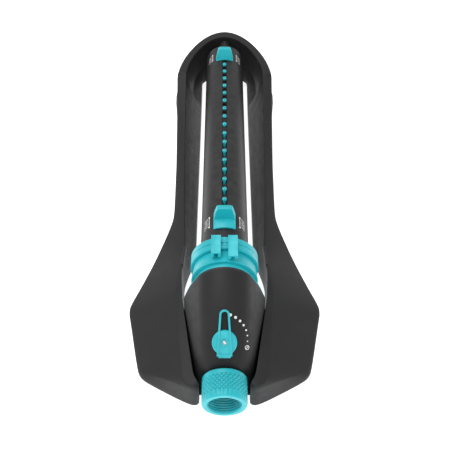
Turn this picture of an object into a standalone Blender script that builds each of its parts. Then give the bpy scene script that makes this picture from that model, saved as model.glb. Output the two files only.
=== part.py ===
"""Oscillating garden sprinkler: frame, water motor, valve, spray tube and its tilting nozzles.

Frame: +Z up, +Y from the hose end to the far end, origin on the ground at the middle of the object.
Dimensions are millimetres, turned into metres by MM where meshes are made.
"""

import math

import bmesh
import bpy
from mathutils import Vector, geometry

MM = 0.001
GAP = 0.3

# overall
FRONT = -247.5
REAR = 247.5
BUMPER = 1.3
ARCH_REAR = REAR - BUMPER
FOOT_Z = 1.5
WALL = 2.2

# spray tube, turning about a line along Y
AXIS_Z = 56.0
TUBE_RADIUS = 22.0
TUBE_WALL = 2.0
TUBE_FRONT = -115.0
TUBE_REAR = 195.0

# nozzles
NOZZLES = 17
NOZZLE_MIDDLE = NOZZLES // 2
NOZZLE_PITCH = 13.65
NOZZLE_CENTRE_Y = 44.2
NOZZLE_LEAN = math.radians(13.0)
NOZZLE_PIVOT_Z = AXIS_Z + 6.0
COMB_HEIGHT = 12.4
HEAD_HEIGHT = 19.5
SLIDER_TRAVEL = 6.0

# range rings and drive housing
RING_OUTER = 30.6
RING_INNER = 26.7
SLEEVE_RADIUS = 26.3
COLLAR_REAR_RADIUS = 27.9
COLLAR_FRONT_RADIUS = 29.6
COLLAR_REAR = -131.1
FLANGE_REAR = -143.6
FLANGE_INSET = 1.5
HOUSING_FRONT = -149.0
HOUSING_BORE = 24.3
RING_FRONT = -130.7
RING_MIDDLE = -124.35
RING_REAR = -118.0
TAB_TOP = 92.0
TAB_REAR = -120.2
TAB_WIDTH = 8.4
TAB_WALL = 2.6
TAB_ROOF = 1.6
FRONT_TAB_LEFT = -11.6
REAR_TAB_LEFT = 3.1

# width sliders and the combs they carry
SLIDER_FRONT = (-101.0, -81.0)
SLIDER_REAR = (164.4, 175.0)
SADDLE_RADIUS = 24.2
POST_FRONT = -89.0
POST_REAR = 169.7
COMB_LOW = NOZZLE_PIVOT_Z + COMB_HEIGHT - 0.8
COMB_HIGH = COMB_LOW + 1.6

# legs and arch
ARCH_START = 150.0
RIDGE_START = 31.0
RIDGE_TOP = 68.0
OPENING_X = 29.2
ARCH_WALL = [
    (40.0, 150.0), (39.6, 170.0), (38.6, 187.0), (36.5, 200.0), (33.0, 210.5),
    (28.5, 218.5), (22.0, 225.0), (15.0, 228.5), (7.5, 230.0), (0.0, 230.5),
]
OPENING_END = [
    (29.2, 150.0), (29.2, 172.0), (29.2, 192.0), (29.2, 204.0), (29.2, 211.0),
    (27.2, 215.9), (22.2, 218.0), (15.0, 218.0), (7.5, 218.0), (0.0, 218.0),
]
LUG = [(37.3, -84.0), (39.9, -84.0), (42.2, -106.5), (39.5, -107.4)]
LUG_TOP = 33.8
FOOT_PLACES = [(74.0, -160.0), (-74.0, -160.0), (46.0, 140.0), (-46.0, 140.0)]
FOOT_RADIUS = 8.0

# motor cover: (y, value) tables for its top, its round back and its flanks
COVER_TOP = [(-221, 42), (-214, 47.5), (-205, 54.5), (-190, 64.5), (-175, 73), (-160, 80), (-149, 84.3)]
COVER_ARC = [(-221, 21.0), (-205, 24.0), (-185, 25.6), (-165, 26.4), (-149, 26.6)]
COVER_SIDE = [(-221, 24.2), (-202, 28.2), (-158, 35.6), (-147, 37.4)]
COVER_LOW = [(-221, 16.0), (-205, 22.0), (-180, 30.0), (-147, 38.0)]
COVER_FOOT = 4.8

# water motor
CASE_Z = 44.0
CASE_REAR = -149.6
CASE_FRONT = -176.5
CASE_RADIUS = 19.5

# hose inlet
INLET_Z = 26.0
NUT_REAR = -223.0
NUT_RADIUS = 19.0

# flow valve: its axis leans forward, square to the cover
VALVE_LEAN = math.radians(35.0)
LEVER_Y = -205.0
LEVER_Z = 54.5
LEVER_BASE = 0.8
LEVER_TOP = 6.2
LOOP_END = 27.0

# gears
MODULE = 0.6
PINION_TEETH = 9
WHEEL_TEETH = 24
IDLER_TEETH = 12
OUTPUT_TEETH = 36
TRAIN_DISTANCE = MODULE * (PINION_TEETH + WHEEL_TEETH) / 2
IDLER_DISTANCE = MODULE * (PINION_TEETH + IDLER_TEETH) / 2
IDLER_PAIR = MODULE * IDLER_TEETH
SIDE_AXLE_Z = AXIS_Z - 19.0
ROTOR_AXLE_Z = SIDE_AXLE_Z + TRAIN_DISTANCE


def clear_scene():
    for item in list(bpy.data.objects):
        bpy.data.objects.remove(item)
    for group in list(bpy.data.collections):
        bpy.data.collections.remove(group)


clear_scene()
PARTS = bpy.data.collections.new("sprinkler")
CUTTERS = bpy.data.collections.new("cutters")
bpy.context.scene.collection.children.link(PARTS)
bpy.context.scene.collection.children.link(CUTTERS)


def finish(name, colour, roughness, metallic=0.0):
    """A Principled material with one colour."""
    material = bpy.data.materials.new(name)
    material.use_nodes = True
    shader = material.node_tree.nodes["Principled BSDF"]
    shader.inputs["Base Color"].default_value = (*colour, 1.0)
    shader.inputs["Roughness"].default_value = roughness
    shader.inputs["Metallic"].default_value = metallic
    return material


CHARCOAL = finish("charcoal_plastic", (0.045, 0.045, 0.046), 0.55)
TURQUOISE = finish("turquoise_plastic", (0.045, 0.60, 0.66), 0.38)
ACETAL = finish("natural_acetal", (0.78, 0.77, 0.72), 0.45)
RUBBER = finish("black_rubber", (0.02, 0.02, 0.02), 0.8)
STEEL = finish("bright_steel", (0.72, 0.72, 0.74), 0.28, 1.0)
MESH = finish("filter_mesh", (0.55, 0.56, 0.58), 0.5, 0.6)


# ---------------------------------------------------------------- shapes


def place(obj, material, cutter=False):
    """Put an object in the parts, or among the hidden cutters."""
    if cutter:
        CUTTERS.objects.link(obj)
        obj.hide_render = True
        obj.display_type = "WIRE"
        return obj
    PARTS.objects.link(obj)
    obj.data.materials.clear()
    obj.data.materials.append(material)
    return obj


def turned(name, material, profile, at, lean=-math.pi / 2, steps=24, cutter=False, closed=False):
    """A profile of (radius, height) points turned about a line; lean turns local +Z about X."""
    mesh = bpy.data.meshes.new(name)
    points = [(radius * MM, 0.0, height * MM) for radius, height in profile]
    edges = [(i, i + 1) for i in range(len(points) - 1)]
    if closed:
        edges.append((len(points) - 1, 0))
    mesh.from_pydata(points, edges, [])
    obj = bpy.data.objects.new(name, mesh)
    obj.location = Vector(at) * MM
    obj.rotation_euler = (lean, 0.0, 0.0)
    screw = obj.modifiers.new("turn", "SCREW")
    screw.steps = steps
    screw.render_steps = steps
    screw.use_merge_vertices = True
    screw.merge_threshold = 0.00001
    screw.use_smooth_shade = True
    place(obj, material, cutter)
    return bake(obj)


def bake(obj):
    """Replace an object's data by its evaluated mesh, welded, and drop its modifiers."""
    depsgraph = bpy.context.evaluated_depsgraph_get()
    mesh = bpy.data.meshes.new_from_object(obj.evaluated_get(depsgraph))
    work = bmesh.new()
    work.from_mesh(mesh)
    bmesh.ops.remove_doubles(work, verts=work.verts, dist=0.000005)
    work.to_mesh(mesh)
    work.free()
    materials = list(obj.data.materials)
    collection = obj.users_collection[0]
    fresh = bpy.data.objects.new(obj.name, mesh)
    fresh.matrix_world = obj.matrix_world.copy()
    fresh.location = obj.location
    fresh.rotation_euler = obj.rotation_euler
    fresh.hide_render = obj.hide_render
    fresh.display_type = obj.display_type
    name = obj.name
    bpy.data.objects.remove(obj)
    fresh.name = name
    collection.objects.link(fresh)
    mesh.materials.clear()
    for material in materials:
        mesh.materials.append(material)
    return fresh


def rod(name, material, radius, low, high, at, lean=-math.pi / 2, steps=24, cutter=False):
    """A solid cylinder from height low to high along its line."""
    profile = [(0, high), (radius, high), (radius, low), (0, low)]
    return turned(name, material, profile, at, lean, steps, cutter)


def pipe(name, material, outer, inner, low, high, at, lean=-math.pi / 2, steps=24):
    """A hollow cylinder."""
    profile = [(outer, high), (outer, low), (inner, low), (inner, high)]
    return turned(name, material, profile, at, lean, steps, closed=True)


def block(name, material, low, high, cutter=False):
    """A box between two corners."""
    mesh = bpy.data.meshes.new(name)
    work = bmesh.new()
    bmesh.ops.create_cube(work, size=1.0)
    middle = (Vector(low) + Vector(high)) / 2 * MM
    size = (Vector(high) - Vector(low)) * MM
    bmesh.ops.scale(work, vec=size, verts=work.verts)
    work.to_mesh(mesh)
    work.free()
    obj = bpy.data.objects.new(name, mesh)
    obj.location = middle
    return place(obj, material, cutter)


def prism(name, material, outlines, low, high, at=(0, 0, 0), upright=False, cutter=False):
    """Flat outlines (the first is the rim, the rest are holes) given a thickness from low to high.

    The outline lies in XY and rises along Z, or, when upright, in XZ and runs along +Y.
    """
    curve = bpy.data.curves.new(name, "CURVE")
    curve.dimensions = "2D"
    curve.fill_mode = "BOTH"
    curve.extrude = (high - low) / 2 * MM
    for outline in outlines:
        spline = curve.splines.new("POLY")
        spline.points.add(len(outline) - 1)
        for point, (u, v) in zip(spline.points, outline):
            point.co = (u * MM, v * MM, 0.0, 1.0)
        spline.use_cyclic_u = True
    obj = bpy.data.objects.new(name, curve)
    shift = (low + high) / 2
    if upright:
        obj.rotation_euler = (math.pi / 2, 0.0, 0.0)
        obj.location = (Vector(at) + Vector((0, shift, 0))) * MM
    else:
        obj.location = (Vector(at) + Vector((0, 0, shift))) * MM
    place(obj, material, cutter)
    return bake(obj)


def boolean(obj, tool, operation, solver="EXACT"):
    step = obj.modifiers.new(operation.lower(), "BOOLEAN")
    step.operation = operation
    step.solver = solver
    step.object = tool
    return obj


def cut(obj, tool, solver="EXACT"):
    return boolean(obj, tool, "DIFFERENCE", solver)


def join(obj, tool, solver="EXACT"):
    return boolean(obj, tool, "UNION", solver)


def smooth(obj, angle=35.0):
    obj.data.shade_smooth()
    obj.data.set_sharp_from_angle(angle=math.radians(angle))
    return obj


def arc(centre, radius, start, end, steps):
    """Points on a circle, in degrees."""
    points = []
    for i in range(steps + 1):
        angle = math.radians(start + (end - start) * i / steps)
        points.append((centre[0] + radius * math.cos(angle), centre[1] + radius * math.sin(angle)))
    return points


def circle(centre, radius, steps):
    return arc(centre, radius, 0.0, 360.0 - 360.0 / steps, steps - 1)


def blend_values(table, position):
    """Straight-line values between the rows (position, value) of a table."""
    for (p0, v0), (p1, v1) in zip(table, table[1:]):
        if position <= p1:
            share = max(0.0, (position - p0) / (p1 - p0))
            return v0 + (v1 - v0) * share
    return table[-1][1]


def sheet(name, material, rows, thickness=WALL):
    """A surface through rows of points, mirrored at X=0 and given a wall thickness inwards."""
    mesh = bpy.data.meshes.new(name)
    work = bmesh.new()
    grid = [[work.verts.new(Vector(p) * MM) for p in row] for row in rows]
    for near, far in zip(grid, grid[1:]):
        for a, b, c, d in zip(near, near[1:], far[1:], far):
            work.faces.new((a, d, c, b))
    bmesh.ops.remove_doubles(work, verts=work.verts, dist=0.00002)
    work.to_mesh(mesh)
    work.free()
    obj = bpy.data.objects.new(name, mesh)
    place(obj, material)
    flip = obj.modifiers.new("mirror", "MIRROR")
    flip.use_clip = True
    flip.merge_threshold = 0.00005
    shell = obj.modifiers.new("wall", "SOLIDIFY")
    shell.thickness = thickness * MM
    shell.offset = -1.0
    shell.use_even_offset = True
    shell.thickness_clamp = 1.0
    return obj


# ---------------------------------------------------------------- frame


def ridge_height(y):
    """The legs rise from the wings to the arch that carries the tube's far end."""
    share = min(1.0, max(0.0, (y + 82.0) / 240.0))
    return RIDGE_START + (RIDGE_TOP - RIDGE_START) * share ** 1.6


def wing_rows():
    """Front wing, from its inner tip round the outer corners to the leg: eight points a row."""
    tip = [
        (21.8, -233.0, FOOT_Z),
        (21.8, -232.6, 4.0),
        (21.7, -231.6, 14.0),
        (21.6, -230.6, 24.0),
        (21.6, -230.0, 29.8),
        (21.6, -230.6, 24.0),
        (21.7, -231.6, 14.0),
        (21.8, -232.6, 4.0),
    ]
    rows = [tip]
    # foot x, y | plate edge x, y, z | fold x, y, z | ridge x, y, z
    table = [
        ((24.2, -235.3), (24.6, -233.0, 25.5), (24.4, -231.8, 28.8), (22.5, -227.6, 30.3)),
        ((30.0, -234.6), (31.0, -231.8, 26.0), (30.6, -230.6, 29.0), (23.0, -226.2, 30.5)),
        ((46.0, -226.6), (45.0, -222.6, 20.5), (35.0, -225.0, 29.0), (25.3, -222.4, 30.7)),
        ((68.0, -214.6), (66.2, -210.6, 9.5), (36.2, -219.0, 29.2), (26.8, -217.0, 31.0)),
        ((75.0, -209.0), (73.2, -206.4, 6.5), (37.0, -212.0, 29.4), (28.0, -210.0, 31.3)),
        ((78.2, -200.5), (76.6, -199.4, 5.5), (38.2, -203.0, 29.7), (29.4, -202.0, 31.6)),
        ((88.6, -153.0), (87.2, -152.4, 5.0), (43.4, -158.0, 30.5), (36.8, -158.0, 33.0)),
        ((91.5, -141.0), (90.0, -140.6, 5.0), (44.8, -147.0, 30.8), (38.6, -147.0, 33.4)),
        ((89.4, -131.5), (88.0, -131.6, 5.4), (45.4, -137.0, 31.0), (39.2, -137.0, 33.4)),
        ((80.7, -110.0), (79.2, -110.5, 8.7), (44.4, -119.0, 31.0), (40.6, -118.0, 33.0)),
        ((72.0, -88.5), (70.4, -89.4, 12.0), (43.2, -103.0, 31.0), (40.4, -104.0, 32.8)),
    ]
    for foot, edge, fold, ridge in table:
        inner = (ridge[0] - 0.6, ridge[1])
        spread = 2.2 if ridge[1] > -110.0 else 0.0
        rows.append(
            [
                (foot[0], foot[1], FOOT_Z),
                (foot[0] - 0.3, foot[1] + 0.3, 4.0),
                edge,
                fold,
                ridge,
                (inner[0] + 0.2 - spread * 0.2, inner[1], 24.0),
                (inner[0] - spread * 0.7, inner[1], 13.0),
                (inner[0] - 0.3 - spread, inner[1], FOOT_Z + 0.4),
            ]
        )
    return rows


def leg_row(y, foot_x, ridge_x, ridge_y, edge_z, inner_x, inner_z):
    """One section of a leg; the inner points may lie further along than the outer ones."""
    top = ridge_height(ridge_y)
    edge_x = foot_x - 1.4
    return [
        (foot_x, y, FOOT_Z),
        (foot_x - 0.1, y, 4.0),
        (edge_x, y, edge_z),
        (ridge_x + 1.2, ridge_y, top - 0.4),
        (ridge_x, ridge_y, top),
        ((ridge_x * 0.45 + inner_x * 0.55), ridge_y, inner_z + 0.42 * (top - inner_z)),
        (inner_x, ridge_y, inner_z),
        (inner_x, ridge_y, FOOT_Z + 0.4),
    ]


def leg_rows():
    """The straight legs beside the tube."""
    rows = [
        leg_row(-61.0, 60.6, 38.6, -84.0, 20.0, OPENING_X + 1.8, 13.0),
        leg_row(-45.0, 54.8, 39.6, -72.0, 25.5, OPENING_X, 12.0),
        leg_row(-36.0, 53.6, 40.4, -58.0, 28.0, OPENING_X, 12.0),
    ]
    for y in (-15.0, 30.0, 70.0, 97.0, 125.0, ARCH_START):
        foot_x = blend_values([(-36.0, 53.6), (30.0, 54.2), (97.0, 56.0), (150.0, 57.6)], y)
        ridge_x = blend_values([(-58.0, 40.4), (-17.0, 42.4), (67.0, 44.3), (150.0, 45.6)], y)
        drop = blend_values([(-36.0, 6.5), (97.0, 4.0), (150.0, 2.0)], y)
        rows.append(leg_row(y, foot_x, ridge_x, y, ridge_height(y) - drop, OPENING_X, 12.0))
    return rows


def arch_rail(side_x, rear_y, z, steps):
    """A rail round the far end, from the leg at ARCH_START to the middle, as a Bezier curve."""
    depth = rear_y - ARCH_START
    side = Vector((side_x, ARCH_START, 0))
    side_handle = Vector((side_x * 0.985, ARCH_START + depth * 0.40, 0))
    rear_handle = Vector((side_x * 0.505, rear_y, 0))
    rear = Vector((0, rear_y, 0))
    points = geometry.interpolate_bezier(side, side_handle, rear_handle, rear, steps + 1)
    return [(p.x, p.y, z) for p in points]


def arch_rows():
    top = RIDGE_TOP
    steps = len(ARCH_WALL) - 1
    rails = [
        arch_rail(57.6, ARCH_REAR, FOOT_Z, steps),
        arch_rail(57.5, ARCH_REAR - 0.1, 4.0, steps),
        arch_rail(56.2, ARCH_REAR - 0.8, top - 2.6, steps),
        arch_rail(54.0, ARCH_REAR - 3.0, top, steps),
        arch_rail(45.6, ARCH_REAR - 15.0, top, steps),
        [(x, y, 30.0) for x, y in ARCH_WALL],
        [(x, y, 12.0 + 2.0 * min(1.0, i / 3)) for i, (x, y) in enumerate(OPENING_END)],
        [(x, y, FOOT_Z + 0.4 + 8.1 * min(1.0, i / 5)) for i, (x, y) in enumerate(OPENING_END)],
    ]
    return [list(row) for row in zip(*rails)][1:]


def floor_outline():
    """The floor between the wings, under the motor; its edges run inside the wings' walls."""
    side = [(23.6, -226.0), (26.4, -215.0), (38.2, -153.0), (39.6, -138.0)]
    return side + [(-x, y) for x, y in reversed(side)]


def base_frame():
    frame = sheet("base_frame", CHARCOAL, wing_rows() + leg_rows() + arch_rows())
    floor = prism("cut_floor", None, [floor_outline()], FOOT_Z + 0.5, FOOT_Z + 3.0, cutter=True)
    join(frame, floor)
    for number, (x, y) in enumerate(FOOT_PLACES):
        top = 8.3 if y < 0 else 14.0
        boss = rod(f"cut_boss_{number}", None, 6.0, 3.0 + GAP, top, (x, y, 0), 0.0, 12, cutter=True)
        join(frame, boss)
        if y > 0:
            reach = 55.4 if x > 0 else -55.4
            web = block(
                f"cut_web_{number}",
                None,
                (min(x, reach), y - 1.2, 3.0 + GAP),
                (max(x, reach), y + 1.2, 13.0),
                cutter=True,
            )
            join(frame, web)
    post = block("cut_post", None, (-6.0, 209.3, 13.2), (6.0, 228.8, AXIS_Z), cutter=True)
    post_top = rod("cut_post_top", None, 7.4, 209.0, 229.1, (0, 0, AXIS_Z), steps=24, cutter=True)
    join(post, post_top)
    join(frame, post)
    for number, x in enumerate((10.0, -10.0)):
        hole = rod(f"cut_floor_hole_{number}", None, 1.9, 0.0, 8.0, (x, -160.0, 0), 0.0, 12, True)
        cut(frame, hole)
    bore = rod("cut_bearing", None, 5.6, 0.0, 27.7, (0, 200.0, AXIS_Z), cutter=True)
    cut(frame, bore)
    for number, side in enumerate((1, -1)):
        outline = [(side * x, y) for x, y in LUG]
        lug = prism(f"cut_lug_{number}", None, [outline], 26.0, LUG_TOP, cutter=True)
        join(frame, lug, "MANIFOLD")
    return frame


def rear_bumper():
    """A thin cladding round the outside of the arch."""
    steps = 9
    heights = (5.0, 38.0)
    rails = [arch_rail(57.6 + 0.4, ARCH_REAR + 0.4, z, steps) for z in heights]
    rows = [[(57.6, 137.0, z) for z in heights]]
    rows += [list(row) for row in zip(*rails)]
    bumper = sheet("rear_bumper", CHARCOAL, rows, thickness=0.9)
    bumper.modifiers["wall"].offset = 1.0
    return bumper


# ---------------------------------------------------------------- motor cover and drive housing


def bell_section(y, inset=0.0):
    """Half of the cover's outline at y, from its foot up to the top: (x, z)."""
    top = blend_values(COVER_TOP, y) - inset
    radius = blend_values(COVER_ARC, y) - inset
    side = blend_values(COVER_SIDE, y) - inset
    low = blend_values(COVER_LOW, y) - inset
    over = arc((0.0, top - radius), radius, 28.0, 90.0, 8)
    shoulder_x, shoulder_z = over[0]
    points = [(side, COVER_FOOT), (side, low)]
    for share in (0.35, 0.7):
        bulge = 1.2 * math.sin(math.pi * share)
        x = side + (shoulder_x - side) * share + bulge
        points.append((x, low + (shoulder_z - low) * share))
    for x, z in over:
        points.append((abs(x) if abs(x) > 0.001 else 0.0, z))
    return points


def valve_point(distance):
    """A point on the valve's axis, measured outwards from the cover's surface."""
    return (
        0.0,
        LEVER_Y - distance * math.sin(VALVE_LEAN),
        LEVER_Z + distance * math.cos(VALVE_LEAN),
    )


def motor_cover():
    rows = []
    for y in (HOUSING_FRONT - GAP, -160.0, -175.0, -190.0, -205.0, -214.0, -219.0):
        rows.append([(x, y, z) for x, z in bell_section(y)])
    rows.append([(x, -221.4, z) for x, z in bell_section(-221.0, 2.2)])
    rows.append([(0.0, -221.8, z) for x, z in bell_section(-221.0, 2.2)])
    cover = sheet("motor_cover", CHARCOAL, [list(reversed(row)) for row in rows], thickness=2.0)
    tube = rod("cut_inlet_hole", None, 10.8, -226.0, -214.0, (0, 0, INLET_Z), cutter=True)
    stem = rod("cut_stem_hole", None, 4.2, -9.0, 9.0, (0, LEVER_Y, LEVER_Z), VALVE_LEAN, cutter=True)
    trim = block("cut_cover_rear", None, (-60, HOUSING_FRONT - GAP, -5), (60, -130, 110), cutter=True)
    cut(cover, tube)
    cut(cover, stem)
    cut(cover, trim)
    return cover


def drive_housing():
    sleeve = [(9.0, -117.6), (SLEEVE_RADIUS, -117.6), (SLEEVE_RADIUS, COLLAR_REAR)]
    front = FLANGE_REAR - 1.2
    collar = [(COLLAR_REAR_RADIUS, COLLAR_REAR), (COLLAR_FRONT_RADIUS, FLANGE_REAR)]
    collar.append((COLLAR_FRONT_RADIUS, front))
    bore = [(HOUSING_BORE, front), (HOUSING_BORE, -120.0), (9.0, -120.0)]
    profile = sleeve + collar + bore
    housing = turned("drive_housing", TURQUOISE, profile, (0, 0, AXIS_Z), steps=36, closed=True)
    half = bell_section(HOUSING_FRONT, FLANGE_INSET)
    outline = half + [(-x, z) for x, z in reversed(half[:-1])]
    plate = prism("cut_flange", None, [outline], HOUSING_FRONT, FLANGE_REAR, upright=True, cutter=True)
    bore = rod("cut_bore", None, HOUSING_BORE, -152.0, -140.0, (0, 0, AXIS_Z), steps=36, cutter=True)
    cut(plate, bore)
    join(housing, plate)
    seat = rod("cut_axle_seat", None, 1.3, -122.0, -118.6, (0, 0, SIDE_AXLE_Z), steps=12, cutter=True)
    cut(housing, seat)
    return housing


def tab_walls(name, left, low, high):
    """The two side walls of a ring's tab between corners low and high, given as (y, z)."""
    walls = []
    for side, x in (("left", left), ("right", left + TAB_WIDTH - TAB_WALL)):
        near = (x + 0.1, low[0], low[1])
        far = (x + TAB_WALL - 0.1, high[0], high[1])
        walls.append(block(f"cut_{name}_{side}", None, near, far, cutter=True))
    return walls


def range_ring(name, low, high, left, tab_front, tab_low):
    """A stop ring with a thumb tab, a channel open below that reaches over the other ring."""
    ring = pipe(name, TURQUOISE, RING_OUTER, RING_INNER, low, high, (0, 0, AXIS_Z), steps=36)
    right = left + TAB_WIDTH
    roof = TAB_TOP - TAB_ROOF
    outer = [(left, tab_low), (left, TAB_TOP), (right, TAB_TOP), (right, tab_low)]
    hollow = [(right - TAB_WALL, tab_low), (right - TAB_WALL, roof)]
    hollow += [(left + TAB_WALL, roof), (left + TAB_WALL, tab_low)]
    tab = prism(f"cut_{name}_tab", None, [outer + hollow], tab_front, TAB_REAR, upright=True, cutter=True)
    for wall in tab_walls(name, left, (low + 0.05, 83.4), (min(high - 0.05, TAB_REAR - 0.2), 89.0)):
        join(ring, wall)
    join(ring, tab)
    return ring


def range_rings():
    front = range_ring("range_ring_front", RING_FRONT, RING_MIDDLE - 0.2, FRONT_TAB_LEFT, -140.4, 87.2)
    for lip in tab_walls("front_lip", FRONT_TAB_LEFT, (-140.3, 85.6), (RING_FRONT + 0.3, 89.0)):
        join(front, lip)
    range_ring("range_ring_rear", RING_MIDDLE + 0.2, RING_REAR, REAR_TAB_LEFT, -143.6, 87.6)


# ---------------------------------------------------------------- hose inlet and flow valve


def inlet_nut():
    outer = [(18.2, NUT_REAR), (NUT_RADIUS, NUT_REAR - 1.2), (NUT_RADIUS, FRONT + 1.2)]
    inner = [(18.2, FRONT), (14.2, FRONT), (13.6, FRONT + 1.0), (13.6, -226.0), (10.5, -226.0)]
    profile = outer + inner + [(10.5, NUT_REAR)]
    return turned("inlet_nut", TURQUOISE, profile, (0, 0, INLET_Z), steps=32, closed=True)


def valve_housing():
    """Inlet spigot, valve chamber and the motor's front cover, moulded as one."""
    spigot = [(0, -186.0), (10.0, -186.0), (10.0, -227.0), (12.8, -227.0), (12.8, -229.5), (0, -229.5)]
    body = turned("valve_housing", CHARCOAL, spigot, (0, 0, INLET_Z), steps=28)
    chamber = rod(
        "cut_chamber", None, 8.4, -36.0, -7.0, (0, LEVER_Y, LEVER_Z), VALVE_LEAN, cutter=True
    )
    lid = rod("cut_lid", None, CASE_RADIUS, -179.8, -176.9, (0, 0, CASE_Z), steps=32, cutter=True)
    join(body, chamber)
    join(body, lid)
    cut(body, rod("cut_inlet", None, 7.6, -235.0, -187.5, (0, 0, INLET_Z), cutter=True))
    cut(
        body,
        rod("cut_well", None, 6.6, -34.0, 0.0, (0, LEVER_Y, LEVER_Z), VALVE_LEAN, cutter=True),
    )
    outlet = rod("cut_outlet", None, 3.7, -191.6, -170.0, (0, 0, 36.8), steps=14, cutter=True)
    cut(body, outlet, "MANIFOLD")
    return body


def valve_plug():
    profile = [(0, 4.2), (3.0, 4.2), (3.0, -10.4), (6.2, -10.4), (6.2, -33.5), (0, -33.5)]
    plug = turned("valve_plug", ACETAL, profile, (0, LEVER_Y, LEVER_Z), VALVE_LEAN, 20)
    port = rod("cut_port", None, 4.0, -12.0, 12.0, valve_point(-26.0), VALVE_LEAN - math.pi / 2, 16, True)
    cut(plug, port)
    return plug


def ring_of_rubber(name, radius, thickness, height, at, lean=-math.pi / 2):
    """A round-section seal."""
    profile = [
        (radius + thickness * math.cos(a), height - thickness * math.sin(a))
        for a in (math.tau * i / 8 - math.pi / 2 for i in range(8))
    ]
    return turned(name, RUBBER, profile, at, lean, 12, closed=True)


def lever_outline(inset, start, end, tip_width, base_width):
    """The pointer's loop, pointing along +Y, with a round tip."""
    tip = (tip_width - inset * 2) / 2
    foot = (base_width - inset * 2) / 2
    round_tip = arc((0.0, end - tip), tip, 0.0, 180.0, 8)
    return [(foot, start)] + round_tip + [(-foot, start)]


def tilted_prism(name, outlines, low, high):
    """A flat outline standing square on the valve's axis, as a cutter."""
    plate = prism(name, None, outlines, 0.0, high - low, cutter=True)
    plate.rotation_euler = (VALVE_LEAN, 0.0, 0.0)
    plate.location = Vector(valve_point((low + high) / 2)) * MM
    return plate


def flow_lever():
    at = (0, LEVER_Y, LEVER_Z)
    disc = [(0, LEVER_TOP - 0.4), (10.2, LEVER_TOP - 0.4), (11.0, LEVER_TOP - 1.2), (11.0, LEVER_BASE)]
    lever = turned("flow_lever", TURQUOISE, disc + [(0, LEVER_BASE)], at, VALVE_LEAN, 28)
    loop = tilted_prism("cut_loop", [lever_outline(0, 4.0, LOOP_END, 8.6, 12.0)], 2.4, LEVER_TOP)
    slot = tilted_prism("cut_slot", [lever_outline(1.8, 11.8, LOOP_END - 1.8, 8.6, 11.4)], -2.0, 9.0)
    toe = tilted_prism("cut_toe", [[(5.2, -13.6), (5.2, -6.0), (-5.2, -6.0), (-5.2, -13.6)]], 0.9, 5.0)
    join(lever, loop)
    cut(lever, slot)
    join(lever, toe)
    cut(lever, rod("cut_socket", None, 3.3, -2.0, 4.6, at, VALVE_LEAN, cutter=True))
    cut(lever, rod("cut_recess", None, 3.1, 4.9, 9.0, at, VALVE_LEAN, cutter=True))
    cut(lever, rod("cut_screw_hole", None, 1.5, 3.0, 9.0, at, VALVE_LEAN, 12, True))
    profile = [(0, 6.2), (1.4, 6.1), (2.0, 5.3), (1.1, 5.3), (1.1, 4.6), (0, 4.6)]
    turned("lever_screw", STEEL, profile, at, VALVE_LEAN, 20)


def inlet():
    inlet_nut()
    valve_housing()
    valve_plug()
    ring_of_rubber("valve_seal", 4.8, 1.1, -9.0, (0, LEVER_Y, LEVER_Z), VALVE_LEAN)
    flow_lever()
    pipe("inlet_washer", RUBBER, 13.2, 7.8, -232.4, -229.9, (0, 0, INLET_Z), steps=20)
    outer = [(7.2, -224.0), (7.2, -231.0), (5.6, -236.0), (2.8, -238.4), (0.6, -239.0)]
    inner = [(0.6, -238.2), (2.4, -237.6), (5.0, -235.4), (6.5, -230.8), (6.5, -224.0)]
    turned("filter_screen", MESH, outer + inner, (0, 0, INLET_Z), steps=14, closed=True)


# ---------------------------------------------------------------- water motor


def gear_outline(centre, teeth, phase):
    """Slim straight-flanked teeth; phase is the direction of one tooth, in degrees from +X to +Z."""
    pitch_radius = MODULE * teeth / 2
    tip = pitch_radius + 0.75 * MODULE
    root = pitch_radius - 1.1 * MODULE
    pitch = math.tau / teeth
    points = []
    for tooth in range(teeth):
        middle = math.radians(phase) + tooth * pitch
        for radius, share in ((root, -0.25), (tip, -0.10), (tip, 0.10), (root, 0.25)):
            angle = middle + share * pitch
            points.append((centre[0] + radius * math.cos(angle), centre[1] + radius * math.sin(angle)))
    return points


def mesh_phase(phase, teeth, direction, other_teeth):
    """The phase that lets a second gear, lying in a direction, take the first one's teeth in its gaps."""
    return direction + 180.0 - (phase - direction) * teeth / other_teeth + 180.0 / other_teeth


def direction(start, end):
    return math.degrees(math.atan2(end[1] - start[1], end[0] - start[0]))


def meeting_point(first, first_radius, second, second_radius):
    """Where two circles cross, on the right of the line from the first to the second."""
    gap = math.dist(first, second)
    along = (first_radius ** 2 - second_radius ** 2 + gap ** 2) / (2 * gap)
    across = math.sqrt(first_radius ** 2 - along ** 2)
    unit = ((second[0] - first[0]) / gap, (second[1] - first[1]) / gap)
    return (first[0] + unit[0] * along + unit[1] * across, first[1] + unit[1] * along - unit[0] * across)


ROTOR_AXLE = (0.0, ROTOR_AXLE_Z)
SIDE_AXLE = (0.0, SIDE_AXLE_Z)
HUB_CENTRE = (0.0, AXIS_Z)
IDLER_A = (
    SIDE_AXLE[0] - IDLER_DISTANCE * math.sin(math.radians(57.0)),
    SIDE_AXLE[1] + IDLER_DISTANCE * math.cos(math.radians(57.0)),
)
IDLER_B = (
    SIDE_AXLE[0] + IDLER_DISTANCE * math.sin(math.radians(80.0)),
    SIDE_AXLE[1] + IDLER_DISTANCE * math.cos(math.radians(80.0)),
)
IDLER_C = meeting_point(IDLER_B, IDLER_PAIR, HUB_CENTRE, 16.7)


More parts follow.
